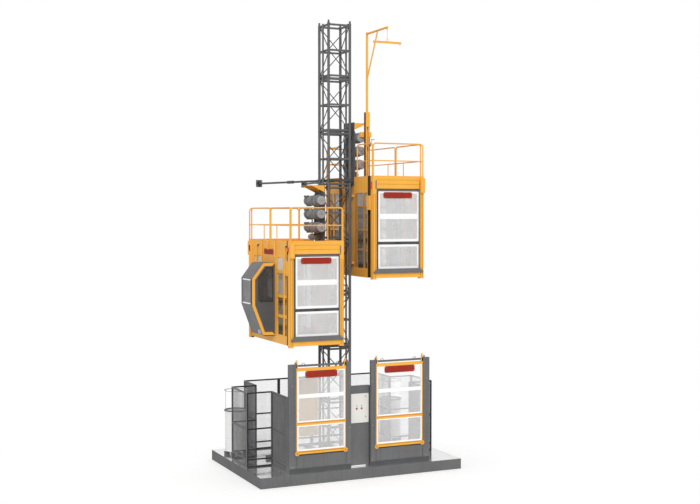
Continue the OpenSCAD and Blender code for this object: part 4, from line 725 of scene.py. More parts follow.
def buildDoor(side, end):
    leaf = doorLeaf
    name = f"{side}_{end}_door"
    door = Piece(f"{name}Leaf", "doorWhite", "headerGrey", "bandDark", "doorWire", "plateRed", "boltSteel",
        "rubberBlack")
    near, far = leaf["edges"] if side == "right" else leaf["edges"][::-1]
    low, high = leaf["x"]
    shadowAndSealEdges = (low + near[0], high - far[0])
    inner = (low + near[1], high - far[1])
    # dark strips at the edges: painted shadow of the post at the leaf's left, a thin seal at its right
    for x in ((low, shadowAndSealEdges[0]), (shadowAndSealEdges[1], high)):
        door.block(x, leaf["y"], (leaf["white"][0][0], leaf["white"][-1][1]), "bandDark")
    for band in leaf["white"]:
        door.block(inner, leaf["y"], band, "doorWhite")
    for band in leaf["whiteStiles"]:
        for x in ((shadowAndSealEdges[0], inner[0]), (inner[1], shadowAndSealEdges[1])):
            door.block(x, leaf["y"], band, "doorWhite")
    for look, band in leaf["dark"]:
        door.block(leaf["x"], grown(leaf["y"], leaf["darkProud"]), band, look)
    middle = sum(leaf["y"]) / 2
    wide, thick = leaf["beadWide"], (middle - leaf["beadDeep"], middle + leaf["beadDeep"])
    for window in leaf["windows"]:
        door.net("y", middle, inner, window, leaf["wire"], "doorWire")
        for x in ((inner[0], inner[0] + wide), (inner[1] - wide, inner[1])):  # beads that hold the net
            door.block(x, thick, window, "doorWhite")
        for z in ((window[0], window[0] + wide), (window[1] - wide, window[1])):
            door.block(grown(inner, -wide), thick, z, "doorWhite")
    door.plate(leaf["bumper"], "y", leaf["bumperY"], "headerGrey")
    door.block(*leaf["bumperBack"], "headerGrey")
    shoeX, shoeY, shoeZ = leaf["shoes"]  # they run in the posts' grooves
    for x in shoeX:
        for z in shoeZ:
            door.block(x, shoeY, z, "rubberBlack")
    if end == "front":
        addPlainPlate(door, "y", leaf["y"][0], *leaf["redPlate"], -1)
    door.tube([(x, y, leaf["handleHeight"]) for x, y in leaf["handle"]], leaf["handleRadius"], "rubberBlack")
    door.finish(name, "door_white", cageSpot(side, end == "rear"), [name])


for side in cages:
    for end in ("front", "rear"):
        buildDoor(side, end)
print("cage doors built")


# Landing gates: yellow bars over white stiles and rails, with horns above the top bar and bosses at the foot
gateLeaf = {
    "x": (0.450, 1.884), "y": (-1.760, -1.720), "inset": 0.003, "foot": 0.786,
    "edge": 0.026, "edgeTop": 3.180, "stile": 0.062,
    "hornWide": 0.044, "hornSlant": 0.022, "hornZ": (3.07, 3.19, 3.28),
    "rubberFoot": (0.760, 0.786), "rubberIn": 0.002,
    "yellow": ((0.786, 0.872), (1.550, 1.630), (2.990, 3.070)), "yellowOut": (0.0005, 0.002),
    "lipIn": 0.03, "lipOut": (0.004, 0.002), "lipZ": (0.045, 0.004),
    "white": ((0.872, 0.916), (1.512, 1.550), (1.630, 1.668), (2.266, 2.374), (2.950, 2.990)),
    "windows": ((0.916, 1.512), (1.668, 2.266), (2.374, 2.950)),
    "bossIn": 0.020, "bossZ": 0.812,
    "bosses": (("hoistYellow", (-0.026, 0.002), 0.060, 28), ("shadeYellow", (-0.034, -0.024), 0.034, 24)),
    "shoeOut": (0.006, 0.001), "shoeZ": ((0.78, 0.87), (2.88, 2.97)),
    "redPlate": ((0.706, 1.628), (2.805, 2.986)),
    "wire": {"pitch": 0.025, "upright": 0.0072, "across": 0.0066, "depth": 0.003},
}


def buildGate(side):
    leaf = gateLeaf
    gate = Piece(f"{side}_gateLeaf", "hoistYellow", "shadeYellow", "doorWhite", "gateWire", "plateRed",
        "boltSteel", "rubberBlack")
    low, high = leaf["x"]
    y, edge = leaf["y"], leaf["edge"]
    inner = grown(leaf["x"], -leaf["stile"])
    shy = grown(y, -leaf["inset"])
    for x in ((low, low + edge), (high - edge, high)):
        gate.block(x, y, (leaf["foot"], leaf["edgeTop"]), "hoistYellow")
    for x in ((low + edge, inner[0]), (inner[1], high - edge)):
        gate.block(x, shy, (leaf["foot"], leaf["yellow"][2][0]), "doorWhite")
    bottom, bend, top = leaf["hornZ"]
    for foot, lean in ((low, 1), (high, -1)):
        tip, slant = foot + lean * leaf["hornWide"], foot + lean * leaf["hornSlant"]
        horn = [(foot, bottom), (tip, bottom), (tip, bend), (slant, top), (foot, top)]
        gate.plate(horn, "y", y, "hoistYellow")
    gate.block(grown(leaf["x"], -leaf["rubberIn"]), shy, leaf["rubberFoot"], "rubberBlack")
    for band in leaf["yellow"]:
        gate.block(grown(leaf["x"], leaf["yellowOut"][0]), grown(y, leaf["yellowOut"][1]), band, "hoistYellow")
    for foot, head in leaf["yellow"][:2]:  # painted shade under the bars' upper lips
        gate.block(grown(leaf["x"], -leaf["lipIn"]), [y[0] - out for out in leaf["lipOut"]],
            (foot + leaf["lipZ"][0], head - leaf["lipZ"][1]), "shadeYellow")
    for band in leaf["white"]:
        gate.block(inner, shy, band, "doorWhite")
    for window in leaf["windows"]:
        gate.net("y", sum(y) / 2, inner, window, leaf["wire"], "gateWire")
    # bosses at the foot, each with a smaller disc of painted shade on its face
    for x in grown(leaf["x"], -leaf["bossIn"]):
        for look, span, radius, sides in leaf["bosses"]:
            gate.stud("y", (x, leaf["bossZ"]), [y[0] + part for part in span], radius, look, sides)
    addPlainPlate(gate, "y", y[0], *leaf["redPlate"], -1)
    far, near = leaf["shoeOut"]
    for z in leaf["shoeZ"]:
        gate.block((low - far, low + near), y, z, "rubberBlack")
        gate.block((high - near, high + far), y, z, "rubberBlack")
    spot = Matrix.Diagonal((cages[side]["sign"], 1, 1, 1))
    gate.finish(f"gate_{side}", "hoist_yellow", spot, [f"gate_{side}"])


for side in cages:
    buildGate(side)
print("landing gates built")


# Nets of the cages' side walls, with painted shade in the darker wire of all but the top row, and a dark veil
# net over the posts on the mast's side that is painted shade
wallNets = {
    "planes": (1.934, 0.450),
    "runs": ((-1.2457, -1.0633), (-0.9817, -0.5803)),
    "rows": (("wallDark", (0.290, 0.779)), ("wallDark", (0.819, 1.322)), ("wallWire", (1.362, 1.976)),
        ("doorWire", (2.016, 2.373))),
    "wire": {"pitch": 0.025, "upright": 0.0058, "across": 0.0058, "depth": 0.0035},
    "shadeVeil": (0.4265, (-1.235, -0.42), (0.30, 2.36)),
    "shadeVeilWire": {"pitch": 0.025, "upright": 0.0030, "across": 0.0030, "depth": 0.0012},
}


def buildWallNets(side):
    nets = Piece(f"{side}_wallNets", "wallWire", "wallDark", "doorWire")
    for plane in wallNets["planes"]:
        for run in wallNets["runs"]:
            for look, z in wallNets["rows"]:
                nets.net("x", plane, run, z, wallNets["wire"], look)
                nets.net("x", plane, sorted(toRear(run)), z, wallNets["wire"], look)
    nets.net("x", *wallNets["shadeVeil"], wallNets["shadeVeilWire"], "wallDark")
    nets.finish(f"{side}_cage", "mesh_grey", cageSpot(side), [f"{side}_cage_mesh"])


for side in cages:
    buildWallNets(side)


# Nets of the enclosure: thin upright strips, nearly shut when seen along the fence where they are deep
fenceNets = {
    "alongY": ((2.105, (-1.6697, -0.5503), (0.0125, 0.0125, 0.0125)),
        (2.105, (0.7303, 1.680), (0.0085, 0.0085, 0.0085)),
        (2.815, (-0.520, 0.700), (0.0036, 0.0040, 0.0040))),
    "alongX": ((-0.535, (2.090, 2.830)), (0.715, (2.090, 2.830)),
        (1.695, (0.0003, 1.045)), (1.695, (1.0453, 2.120))),
    "rows": ((0.325, 0.475), (0.515, 1.300), (1.340, 2.280)),
    "bar": 0.04,
    "wire": {"pitch": 0.026, "upright": 0.0012, "across": 0.0012, "depth": 0.004},
}


def buildFenceNets():
    nets = Piece("fenceNets", "fenceWire")
    bar, wire = fenceNets["bar"], fenceNets["wire"]
    for sign in (-1, 1):
        for at, run, depths in fenceNets["alongY"]:
            for z, depth in zip(fenceNets["rows"], depths):
                nets.net("x", sign * at, grown(run, -bar), z, {**wire, "depth": depth}, "fenceWire")
        for at, run in fenceNets["alongX"]:
            for z in fenceNets["rows"]:
                nets.net("y", at, sorted(sign * x for x in grown(run, -bar)), z, wire, "fenceWire")
    nets.finish("base", "mesh_grey", None, ["enclosure_mesh"])


buildFenceNets()
print("nets woven")


# Operator cabs: outlines in X and Z, X counted from the cage's wall
cabShell = {
    "wall": 1.9543, "y": (-0.383, 0.489), "skin": 0.030,
    "outline": ((0.0, 0.248), (0.346, 0.248), (0.656, 1.062), (0.656, 1.790), (0.336, 2.210), (0.0, 2.210)),
    "glass": ((0.060, 1.160), (0.420, 1.160), (0.470, 1.220), (0.470, 1.800), (0.235, 2.090), (0.060, 2.090)),
    "paneHalf": 0.003, "rim": (0.012, 0.006), "rimY": (0.004, 0.012),
    "bandWide": 0.078, "bandY": (0.014, 0.0003), "innerBandWide": 0.03, "innerBandY": (0.008, 0.0002),
    "windowY": (-0.293, 0.399), "windowZ": (1.092, 1.772), "frameWide": 0.035, "frameX": (-0.012, 0.004),
    "jointWide": 0.055, "jointX": (-0.001, 0.002), "netX": -0.004, "paneX": (-0.028, -0.023),
    "wire": {"pitch": 0.025, "upright": 0.006, "across": 0.006, "depth": 0.004},
}
# Folds of the lower sheet, flange under the floor, blind behind the rear glass, and the flanges' screws
cabSheet = {
    "folds": 4, "foldX": 0.09, "foldStep": 0.085, "foldWide": 0.012, "foldY": (0.005, 0.0001), "foldFoot": 0.40,
    "foldRise": 0.02, "slopeX": 0.28, "slope": 2.8, "foldTop": 1.10,
    "flangeX": -0.02, "flangeY": (0.012, 0.02), "flangeZ": (0.226, 0.2475),
    "blindX": (0.06, 0.26), "blindY": (0.045, 0.038), "blindZ": (1.50, 1.98),
    "screwX": 0.035, "screwY": (0.0175, 0.013), "screwZ": (0.42, 0.72, 1.02, 1.32, 1.62, 1.92),
    "screwRadius": 0.008,
}
# Seat on its post, console with lever and knob, and stop button
cabFittings = {
    "blocks": (("rubberBlack", (0.18, 0.26), (0.17, 0.25), (0.28, 0.68)),
        ("seatCloth", (0.05, 0.42), (0.02, 0.40), (0.68, 0.77)),
        ("seatCloth", (0.06, 0.41), (0.34, 0.43), (0.78, 1.30)),
        ("seatCloth", (0.10, 0.36), (0.35, 0.42), (1.33, 1.50))),
    "console": ((-0.34, 0.28), (-0.14, 0.28), (-0.10, 0.98), (-0.34, 1.10)), "consoleX": (0.05, 0.40),
    "rods": (("rubberBlack", 0.16, (-0.2, 1.02), (-0.17, 1.20), 0.010, 10),
        ("rubberBlack", 0.16, (-0.172, 1.18), (-0.165, 1.235), 0.022, 12),
        ("stopRed", 0.30, (-0.22, 1.03), (-0.212, 1.075), 0.024, 16)),
}


def addCabSkin(cab, outline):
    # Skin round the sides, open to the cage and with a window in its outer face
    shell = cabShell
    y, thick = shell["y"], shell["skin"]
    inner = insetOutline(outline, thick)
    between = grown(y, -thick)
    cab.ring(outline, inner, "y", between, "cabSkinGrey", skip=(2, 5))  # the window's side and the cage's
    out = outline[2][0]
    x, winY, winZ = (out - thick, out), shell["windowY"], shell["windowZ"]
    cab.plate([outline[2], (x[1], winZ[0]), (x[0], winZ[0]), inner[2]], "y", between, "cabSkinGrey")
    cab.plate([(x[1], winZ[1]), outline[3], inner[3], (x[0], winZ[1])], "y", between, "cabSkinGrey")
    for run in ((between[0], winY[0]), (winY[1], between[1])):
        cab.block(x, run, winZ, "cabSkinGrey")
    # Frame, net and pane of the window, with a dark joint beside the yellow band
    wide = shell["frameWide"]
    frameX = [out + part for part in shell["frameX"]]
    netY, netZ = grown(winY, -wide), grown(winZ, -wide)
    for run in ((winY[0], netY[0]), (netY[1], winY[1])):
        cab.block(frameX, run, winZ, "cabSkinGrey")
    for z in ((winZ[0], netZ[0]), (netZ[1], winZ[1])):
        cab.block(frameX, netY, z, "doorWhite")
    joint = (winY[0] - shell["jointWide"], winY[0])
    cab.block([out + part for part in shell["jointX"]], joint, winZ, "rubberBlack")
    # the window's net in the walls' darker wire, which is painted shade
    cab.net("x", out + shell["netX"], netY, netZ, shell["wire"], "wallWire")
    cab.block([out + part for part in shell["paneX"]], winY, winZ, "cabGlass")


def addCabFaces(cab, outline):
    # Front and back with glass set in rubber, yellow band round the front and a grey band inside it
    shell = cabShell
    y, thick = shell["y"], shell["skin"]
    glass = [(shell["wall"] + x, z) for x, z in shell["glass"]]
    for face in ((y[0], y[0] + thick), (y[1] - thick, y[1])):
        cab.ring(outline, glass, "y", face, "cabSheetGrey")
        cab.plate(glass, "y", grown([sum(face) / 2] * 2, shell["paneHalf"]), "cabGlass")
    rim = [insetOutline(glass, gap) for gap in (-shell["rim"][0], shell["rim"][1])]
    near, deep = shell["rimY"]
    for span in ((y[0] - near, y[0] + deep), (y[1] - deep, y[1] + near)):
        cab.ring(*rim, "y", span, "rubberBlack")
    band = insetOutline(outline, shell["bandWide"])
    inside = insetOutline(outline, shell["bandWide"] + shell["innerBandWide"])
    cab.ring(outline, band, "y", [y[0] - out for out in shell["bandY"]], "hoistYellow", skip=(5,))
    cab.ring(band, inside, "y", [y[0] - out for out in shell["innerBandY"]], "cabSkinGrey", skip=(5,))


def addCabSheet(cab, outline):
    look, wall, y = cabSheet, cabShell["wall"], cabShell["y"]
    for k in range(look["folds"]):
        x = look["foldX"] + look["foldStep"] * k
        foot = look["foldFoot"] + look["foldRise"] * k + max(0, x - look["slopeX"]) * look["slope"]
        cab.block((wall + x, wall + x + look["foldWide"]), [y[0] - out for out in look["foldY"]],
            (foot, look["foldTop"]), "cabSheetGrey")
    cab.block((wall, outline[1][0] + look["flangeX"]), (y[0] - look["flangeY"][0], y[0] + look["flangeY"][1]),
        look["flangeZ"], "rubberBlack")
    cab.block([wall + x for x in look["blindX"]], [y[1] - back for back in look["blindY"]], look["blindZ"],
        "discGrey")
    cab.screws("y", (wall + look["screwX"],), look["screwZ"], [y[0] - out for out in look["screwY"]],
        look["screwRadius"])


def buildCab(side):
    cab = Piece(f"{side}_operatorCab", "cabSkinGrey", "hoistYellow", "cabSheetGrey", "cabGlass", "doorWhite",
        "wallWire", "rubberBlack", "seatCloth", "discGrey", "stopRed", "boltSteel")
    wall = cabShell["wall"]
    outline = [(wall + x, z) for x, z in cabShell["outline"]]
    addCabSkin(cab, outline)
    addCabFaces(cab, outline)
    addCabSheet(cab, outline)
    for look, x, y, z in cabFittings["blocks"]:
        cab.block([wall + part for part in x], y, z, look)
    cab.plate(cabFittings["console"], "x", [wall + x for x in cabFittings["consoleX"]], "discGrey")
    for look, x, start, end, radius, sides in cabFittings["rods"]:
        cab.rod((wall + x, *start), (wall + x, *end), radius, look, sides)
    cab.finish(f"{side}_cage", "cab_grey", cageSpot(side), [f"{side}_cab"])


for side in cages:
    buildCab(side)
print("cabs built")


# Small parts on the cage frames, in the right cage's place. Ends are at the front and again at the rear
cageTrim = {
    "ends": (
        ("hoistYellow", (1.884, 1.998), (-1.664, -1.6595), (2.385, 2.755)),  # lid of the pulley box
        ("lampRed", (2.0005, 2.030), (-1.535, -1.487), (2.550, 2.660)),
        ("rubberBlack", (2.0005, 2.022), (-1.487, -1.466), (2.480, 2.660)),
        ("lampRed", (0.400, 0.4295), (-1.535, -1.487), (2.480, 2.660)),
        ("rubberBlack", (0.408, 0.4295), (-1.487, -1.466), (2.480, 2.660)),
        ("headerGrey", (0.5465, 0.5665), (-1.5845, -1.5415), (0.170, 2.478)),  # door's guides
        ("headerGrey", (1.8635, 1.8835), (-1.5845, -1.5415), (0.170, 2.478)),
        ("headerGrey", (0.516, 0.5465), (-1.594, -1.5855), (2.470, 2.700)),
        ("headerGrey", (1.8635, 1.8835), (-1.594, -1.5855), (2.470, 2.700)),
        ("shadeYellow", (0.442, 0.466), (-1.5865, -1.5845), (0.04, 2.34)),  # painted shade along the folds of the corner posts
        ("shadeYellow", (0.498, 0.524), (-1.5865, -1.5845), (0.04, 2.34)),
        ("shadeYellow", (1.896, 1.922), (-1.5865, -1.5845), (0.04, 2.34)),
        ("shadeYellow", (1.954, 1.978), (-1.5865, -1.5845), (0.04, 2.34)),
        ("foldShade", (0.5465, 1.8835), (-1.5835, -1.5775), (2.5972, 2.6042)),  # painted shade in the grooves of the parapet
        ("foldShade", (0.5465, 1.8835), (-1.5835, -1.5775), (2.7138, 2.7208)),
        ("hoistYellow", (0.5460, 1.884), (-1.591, -1.5845), (0.110, 0.122)),  # lip of the sill
        ("hoistYellow", (1.9545, 1.964), (-1.262, -0.564), (0.757, 0.841)),  # bars between the side nets
        ("hoistYellow", (1.9545, 1.964), (-1.262, -0.564), (1.300, 1.384)),
        ("hoistYellow", (1.9545, 1.964), (-1.262, -0.564), (1.954, 2.038)),
    ),
    "endScrews": (
        ((1.898, 1.984), (2.403, 2.737), (-1.668, -1.664), 0.006),
        ((0.470,), (0.10, 0.75, 1.40, 2.05, 2.66), (-1.592, -1.584), 0.009),
        ((1.940,), (0.10, 0.75, 1.40, 2.05), (-1.592, -1.584), 0.009),
    ),
    # Covers of the weight slots at the front, and a strip over the slot at the rear
    "coverX": ((1.9545, 1.990), (0.396, 0.4295)), "coverY": (-1.452, -1.262), "coverZ": (1.900, 2.290),
    "coverScrews": ((-1.422, -1.292), (1.930, 2.260), (1.989, 1.996), 0.009),
    "strip": ((1.9545, 1.9585), (-1.4535, -1.2605), (0.050, 2.825)),
    "stripScrews": ((-1.44,), (0.12, 0.78, 1.44, 2.10, 2.76), (1.958, 1.963), 0.007),
    "wallX": 1.9545, "redPlate": ((-0.29, 0.44), (2.435, 2.585)), "soften": 0.003,
}
# Bent tubes on the outer wall (Y, foot and knee of each) and feet of the roof's rails (Y and foot of each)
wallTubes = {
    "x": 1.972, "runs": ((-1.165, 0.30, 1.4), (1.00, 2.22, 2.4)), "top": 2.62, "radius": 0.016,
    "bend": 0.055, "turns": (0.4, 0.8, 1.2, math.pi / 2), "reach": 0.10,
    "plug": (0.098, 0.135), "plugRadius": 0.022, "clips": (0.08, 0.12), "clipHalf": (0.02, 0.015),
    "railX": 1.974, "railRuns": ((0.57, 2.22), (0.086, 2.56), (-0.455, 2.36)), "railTop": 2.822,
    "railRadius": 0.019, "railClip": (0.02, 0.05),
}


def addWallTubes(trim, wall):
    look = wallTubes
    x, top, bend = look["x"], look["top"], look["bend"]
    halfY, halfZ = look["clipHalf"]
    for y, foot, knee in look["runs"]:
        path = [(x, y, foot), (x, y, knee), (x, y, top)]
        path += [(x, y - bend * (1 - math.cos(turn)), top + bend * math.sin(turn)) for turn in look["turns"]]
        path.append((x, y - look["reach"], top + bend))
        trim.tube(path, look["radius"], "hoistYellow")
        trim.stud("y", (x, top + bend), [y - far for far in look["plug"]], look["plugRadius"], "rubberBlack")
        for z in (foot + look["clips"][0], top - look["clips"][1]):
            trim.block((wall, x), (y - halfY, y + halfY), (z - halfZ, z + halfZ), "hoistYellow")
    x = look["railX"]
    for y, foot in look["railRuns"]:
        trim.rod((x, y, foot), (x, y, look["railTop"]), look["railRadius"], "hoistYellow")
        trim.block((wall, x), (y - halfY, y + halfY), [foot + up for up in look["railClip"]], "hoistYellow")


def buildCageTrim(side):
    trim = Piece(f"{side}_cageTrim", "hoistYellow", "shadeYellow", "headerGrey", "foldShade", "lampRed",
        "rubberBlack", "plateRed", "boltSteel")
    for place in (list, toRear):  # as it is at the front, then turned to the rear
        for look, x, y, z in cageTrim["ends"]:
            trim.block(x, place(y), z, look)
        for across, heights, span, radius in cageTrim["endScrews"]:
            trim.screws("y", across, heights, place(span), radius)
    for x in cageTrim["coverX"]:
        trim.block(x, cageTrim["coverY"], cageTrim["coverZ"], "hoistYellow")
    trim.screws("x", *cageTrim["coverScrews"])
    x, y, z = cageTrim["strip"]
    trim.block(x, toRear(y), z, "hoistYellow")
    y, *rest = cageTrim["stripScrews"]
    trim.screws("x", toRear(y), *rest)
    addWallTubes(trim, cageTrim["wallX"])
    addPlainPlate(trim, "x", cageTrim["wallX"], *cageTrim["redPlate"], 1)
    trim.finish(f"{side}_cage", "hoist_yellow", cageSpot(side), soften=cageTrim["soften"])


for side in cages:
    buildCageTrim(side)


# Three drive units on each roof. Shares are of the motor's radius. A ring gives how many studs, and where the
# first one stands
driveLook = {
    "x": 0.6123, "heights": (3.170, 3.545, 3.920), "radius": 0.150,
    "turned": (
        ("discGrey", (-0.506, -0.430), 0.80, 36, None),  # fan cowl with a shallow dish and a hub
        ("discGrey", (-0.512, -0.505), 0.70, 36, 0.76),
        ("driveCasting", (-0.516, -0.511), 0.20, 20, None),
        ("discGrey", (-0.2435, -0.2395), 0.97, 36, None),  # flange
        ("driveDark", (-0.2475, -0.2430), 0.84, 32, None),
        ("driveDark", (-0.212, -0.085), 0.64, 28, None),
        ("driveDark", (0.236, 0.345), 0.54, 28, None),
    ),
    "fins": (((-0.448, -0.262), 8, 0.88), ((0.368, 0.462), 5, 0.92)), "finThick": 0.009, "finSides": 28,
    "rings": (("driveCasting", 6, 0.0, 0.45, (-0.5135, -0.511), 0.0165, 12),
        ("boltSteel", 8, math.pi / 8, 0.91, (-0.252, -0.239), 0.010, 6)),
    "box": ((0.02, 0.13), (0.35, 0.46), (0.09, 0.150)), "gland": ((0.40, 0.12), (0.13, 0.155), 0.014),
    "eye": ((-0.02, 0.12), (-0.02, 0.150), (0.0, 0.163), (0.02, 0.150), (0.02, 0.12)), "eyeY": -0.34,
    "eyeRadius": 0.006, "eyeSides": 8,
}


def buildDriveTrim(side):
    trim = Piece(f"{side}_driveTrim", "driveCasting", "driveDark", "discGrey", "boltSteel", "rubberBlack")
    drive = driveLook
    x, radius = drive["x"], drive["radius"]
    for z in drive["heights"]:
        for look, span, share, sides, tip in drive["turned"]:
            trim.stud("y", (x, z), span, radius * share, look, sides, tip and radius * tip)
        for (low, high), count, share in drive["fins"]:
            for k in range(count):
                y = low + (high - low) * k / (count - 1)
                trim.stud("y", (x, z), (y, y + drive["finThick"]), radius * share, "driveCasting",
                    drive["finSides"])
        for look, count, first, share, span, size, sides in drive["rings"]:
            for k in range(count):
                turn = first + 2 * math.pi * k / count
                spot = (x + radius * share * math.cos(turn), z + radius * share * math.sin(turn))
                trim.stud("y", spot, span, size, look, sides)
        boxX, boxY, boxZ = drive["box"]
        trim.block([x + part for part in boxX], boxY, [z + part for part in boxZ], "driveCasting")
        (y, up), span, size = drive["gland"]
        trim.stud("x", (y, z + up), [x + part for part in span], size, "rubberBlack")
        trim.tube([(x + across, drive["eyeY"], z + up) for across, up in drive["eye"]], drive["eyeRadius"],
            "boltSteel", drive["eyeSides"])
    trim.finish(f"{side}_cage", "drive_grey", cageSpot(side))


for side in cages:
    buildDriveTrim(side)
print("cage details and drives built")


# Ground enclosure. Sides are at the right and again at the left
enclosureLook = {
    "middle": (
        ("doorWhite", (-0.270, 0.205), (-1.6175, -1.6153), (0.290, 0.316)),  # strip at the panel's foot
        ("boardTan", (-0.400, 0.200), (1.6725, 1.6815), (0.550, 2.270)),
    ),
    "sides": (
        ("postGrey", (0.444, 1.890), (-1.708, -1.672), (3.100, 3.150)),  # header over the gate
        ("bandDark", (0.2985, 0.3035), (-1.6695, -1.600), (0.2855, 2.480)),  # web from the panel to the post
        ("bandDark", (0.30, 2.09), (-1.778, -1.7705), (0.2855, 0.412)),  # plinth
        ("headerGrey", (0.398, 0.4435), (-1.783, -1.7705), (0.752, 3.232)),  # the leaf's guides
        ("headerGrey", (1.8905, 1.936), (-1.783, -1.7705), (0.752, 3.232)),
        ("bandDark", (0.4395, 0.4475), (-1.7745, -1.7705), (0.412, 0.752)),  # the sill's edges
        ("bandDark", (1.8865, 1.8945), (-1.7745, -1.7705), (0.412, 0.752)),
    ),
    "bolts": ((0.340, 1.990), (0.46, 1.40, 2.60), (-1.778, -1.769), 0.011),
    "eyes": (0.66, 1.66), "eyeAt": (-1.69, 3.150), "eyeBend": 0.045, "eyeSteps": 8, "eyeFoot": 0.01,
    "eyeRadius": 0.007, "eyeSides": 8,
}


def buildEnclosureTrim():
    trim = Piece("enclosureTrim", "postGrey", "boardTan", "boltSteel", "headerGrey", "bandDark", "doorWhite")
    look = enclosureLook
    for paint, x, y, z in look["middle"]:
        trim.block(x, y, z, paint)
    (y, foot), bend = look["eyeAt"], look["eyeBend"]
    turns = [math.pi * k / look["eyeSteps"] for k in range(look["eyeSteps"] + 1)]
    across, heights, span, radius = look["bolts"]
    for sign in (-1, 1):
        for paint, x, depth, z in look["sides"]:
            trim.block([sign * part for part in x], depth, z, paint)
        trim.screws("y", [sign * x for x in across], heights, span, radius)
        for at in look["eyes"]:
            loop = [(sign * (at + bend * math.cos(turn)), y, foot + bend * math.sin(turn)) for turn in turns]
            ends = [(point[0], y, foot - look["eyeFoot"]) for point in (loop[0], loop[-1])]
            trim.tube([ends[0], *loop, ends[1]], look["eyeRadius"], "headerGrey", look["eyeSides"])
    trim.finish("base", "galvanised_grey")


buildEnclosureTrim()


# Painted shade on the jib's guide in the right cage's place: its face to the mast, and one edge of its front
guideShadeStrips = (
    ("guideShade", (0.6520, 0.6533), (-0.6825, -0.5575), (2.522, 4.624)),
    ("foldShade", (0.7445, 0.7785), (-0.6840, -0.6827), (2.522, 3.935)),
)


def buildGuideShade():
    folds = Piece("jibGuidePaintedShade", "guideShade", "foldShade")
    for look, x, y, z in guideShadeStrips:
        folds.block(x, y, z, look)
    folds.finish("right_cage", "hoist_yellow", cageSpot("right"))


buildGuideShade()


# Cabinet door: lamps in rings with a dark button under each, two slotted locks, and the pressed edge
cabinetLook = {
    "lampX": (-0.072, 0.072),
    "lamps": (("boltSteel", 1.940, (-1.6540, -1.6400), 0.017, 20),
        ("lampGreen", 1.940, (-1.6590, -1.6530), 0.0135, 20),
        ("rubberBlack", 1.863, (-1.6455, -1.6405), 0.027, 24)),
    "lockX": 0.190, "locks": (1.635, 2.19), "lockY": (-1.6560, -1.6410), "lockRadius": 0.017, "lockSides": 16,
    "slotHalf": (0.004, 0.012), "slotY": (-1.6585, -1.6555),
    "edge": (((-0.279, -0.271), (1.477, 2.268)), ((0.271, 0.279), (1.477, 2.268)),
        ((-0.271, 0.271), (1.477, 1.485)), ((-0.271, 0.271), (2.260, 2.268))),
    "edgeY": (-1.6435, -1.6405),
}


def buildCabinetTrim():
    trim = Piece("cabinetTrim", "lampGreen", "rubberBlack", "boltSteel", "cabinetCream")
    cabinet = cabinetLook
    for x in cabinet["lampX"]:
        for look, z, span, radius, sides in cabinet["lamps"]:
            trim.stud("y", (x, z), span, radius, look, sides)
    x, (wide, tall) = cabinet["lockX"], cabinet["slotHalf"]
    for z in cabinet["locks"]:
        trim.stud("y", (x, z), cabinet["lockY"], cabinet["lockRadius"], "boltSteel", cabinet["lockSides"])
        trim.block((x - wide, x + wide), cabinet["slotY"], (z - tall, z + tall), "rubberBlack")
    for across, z in cabinet["edge"]:
        trim.block(across, cabinet["edgeY"], z, "cabinetCream")
    trim.finish("cabinet_door", "cabinet_cream")


buildCabinetTrim()
print("enclosure, jib and cabinet details built")


# Finishes of the carried nodes: on the ground, the mast and the jib, then on each cage
groundNodes = {
    "slabConcrete": ("foundation_slab",), "mastGrey": ("base_frame", "mast_sections"),
    "springSteel": ("buffer_springs",), "rackSteel": ("mast_racks",), "bandDark": ("mast_tie",),
    "fenceGrey": ("enclosure_frame",), "drumWhite": ("cable_drums",),
    "cabinetCream": ("cabinet_box", "cabinet_door"), "stopRed": ("stop_button_left", "stop_button_right"),
    "weightIron": ("gate_weight_left", "gate_weight_right"),
    "hoistYellow": ("jib_guide", "jib_pole", "jib_spreader"),
    "gearSteel": ("jib_winch",), "ropeSteel": ("jib_rope",),
}
cageNodes = {
    "frameYellow": ("cage_frame",), "chequerPlate": ("cage_floor",), "hoistYellow": ("railings", "roof_hatch"),
    "cabSkinGrey": ("cab_door",), "plateGrey": ("drive_plate",), "driveCasting": ("drive_motors",),
    "weightIron": ("front_weights", "rear_weights"),
    "gearSteel": ("pinion_1", "pinion_2", "pinion_3", "governor_pinion", "rollers_upper", "rollers_lower"),
}


def dressNodes(nodes, start=""):
    for look, names in nodes.items():
        for name in names:
            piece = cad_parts[start + name]
            if not piece.material_slots:
                piece.data.materials.append(finishes[look])
            for slot in piece.material_slots:
                slot.material = finishes[look]
    return sum(len(names) for names in nodes.values())


dressed = dressNodes(groundNodes) + sum(dressNodes(cageNodes, f"{side}_") for side in cages)
print("carried nodes painted:", dressed)


# Floor, backdrop and lamps: the sun stands to the front left of the hoist
studioLight = {
    "sunFrom": (-0.36, -0.78, 0.50),
    "sunStrength": 1.55,
    "sunAngle": 12.0,
    "skyLevel": 0.60,
    "backdrop": 1.0,
    "white": (1, 1, 1, 1),
    "floorColor": (0.93, 0.93, 0.93, 1),
    "floorLift": 0.26,
    "floorNear": 4.5,
    "floorFar": 10.0,
    "floorSize": 90,
    "floorCells": 4,
    "floorHeight": -0.002,
}


def openTree(owner):
    owner.use_nodes = True
    owner.node_tree.nodes.clear()
    return owner.node_tree


def shownRays(tree):
    # Rays that see the backdrop: the camera's, and those off gloss and through glass
    rays = tree.nodes.new("ShaderNodeLightPath").outputs
    seen = doMath(tree, "MAXIMUM", rays["Is Camera Ray"], rays["Is Glossy Ray"])
    return doMath(tree, "MAXIMUM", seen, rays["Is Transmission Ray"])


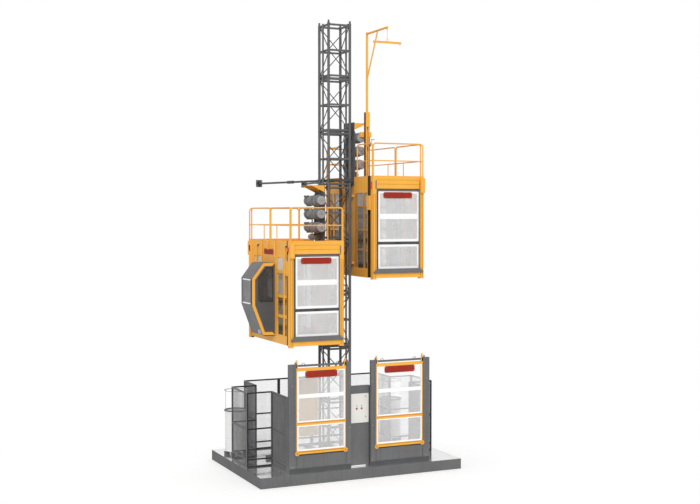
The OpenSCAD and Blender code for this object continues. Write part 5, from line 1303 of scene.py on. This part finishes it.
def buildFloor(light):
    grid = bmesh.new()
    bmesh.ops.create_grid(grid, x_segments=light["floorCells"], y_segments=light["floorCells"],
        size=light["floorSize"])
    mesh = bpy.data.meshes.new("studioFloor")
    grid.to_mesh(mesh)
    grid.free()
    floor = bpy.data.objects.new("studioFloor", mesh)
    floor.location.z = light["floorHeight"]
    scene.collection.objects.link(floor)
    paper = bpy.data.materials.new("floorPaper")
    tree = openTree(paper)
    away = addNode(tree, "ShaderNodeVectorMath", {"operation": "LENGTH"}, pin0=objectPlace(tree))
    seen = shownRays(tree)
    matte = addNode(tree, "ShaderNodeBsdfDiffuse", Color=light["floorColor"])
    lift = addNode(tree, "ShaderNodeEmission", Strength=doMath(tree, "MULTIPLY", seen, light["floorLift"]))
    near = addNode(tree, "ShaderNodeAddShader", pin0=matte.outputs[0], pin1=lift.outputs[0])
    white = addNode(tree, "ShaderNodeEmission", Strength=light["backdrop"])
    far = rise(tree, away.outputs["Value"], light["floorNear"], light["floorFar"])
    mix = addNode(tree, "ShaderNodeMixShader", pin0=doMath(tree, "MULTIPLY", far, seen), pin1=near.outputs[0],
        pin2=white.outputs[0])
    addNode(tree, "ShaderNodeOutputMaterial", Surface=mix.outputs[0])
    mesh.materials.append(paper)


def buildSky(light):
    sky = bpy.data.worlds.new("studioSky")
    scene.world = sky
    tree = openTree(sky)
    glow, shown = (addNode(tree, "ShaderNodeBackground", Color=light["white"], Strength=light[level])
        for level in ("skyLevel", "backdrop"))
    mix = addNode(tree, "ShaderNodeMixShader", pin0=shownRays(tree), pin1=glow.outputs[0],
        pin2=shown.outputs[0])
    addNode(tree, "ShaderNodeOutputWorld", Surface=mix.outputs[0])


def buildSun(light):
    lamp = bpy.data.lights.new("studioSun", "SUN")
    lamp.energy = light["sunStrength"]
    lamp.angle = math.radians(light["sunAngle"])
    sun = bpy.data.objects.new("studioSun", lamp)
    sun.rotation_euler = Vector(light["sunFrom"]).to_track_quat("Z", "Y").to_euler()
    scene.collection.objects.link(sun)


buildFloor(studioLight)
buildSky(studioLight)
buildSun(studioLight)
print("studio lit")
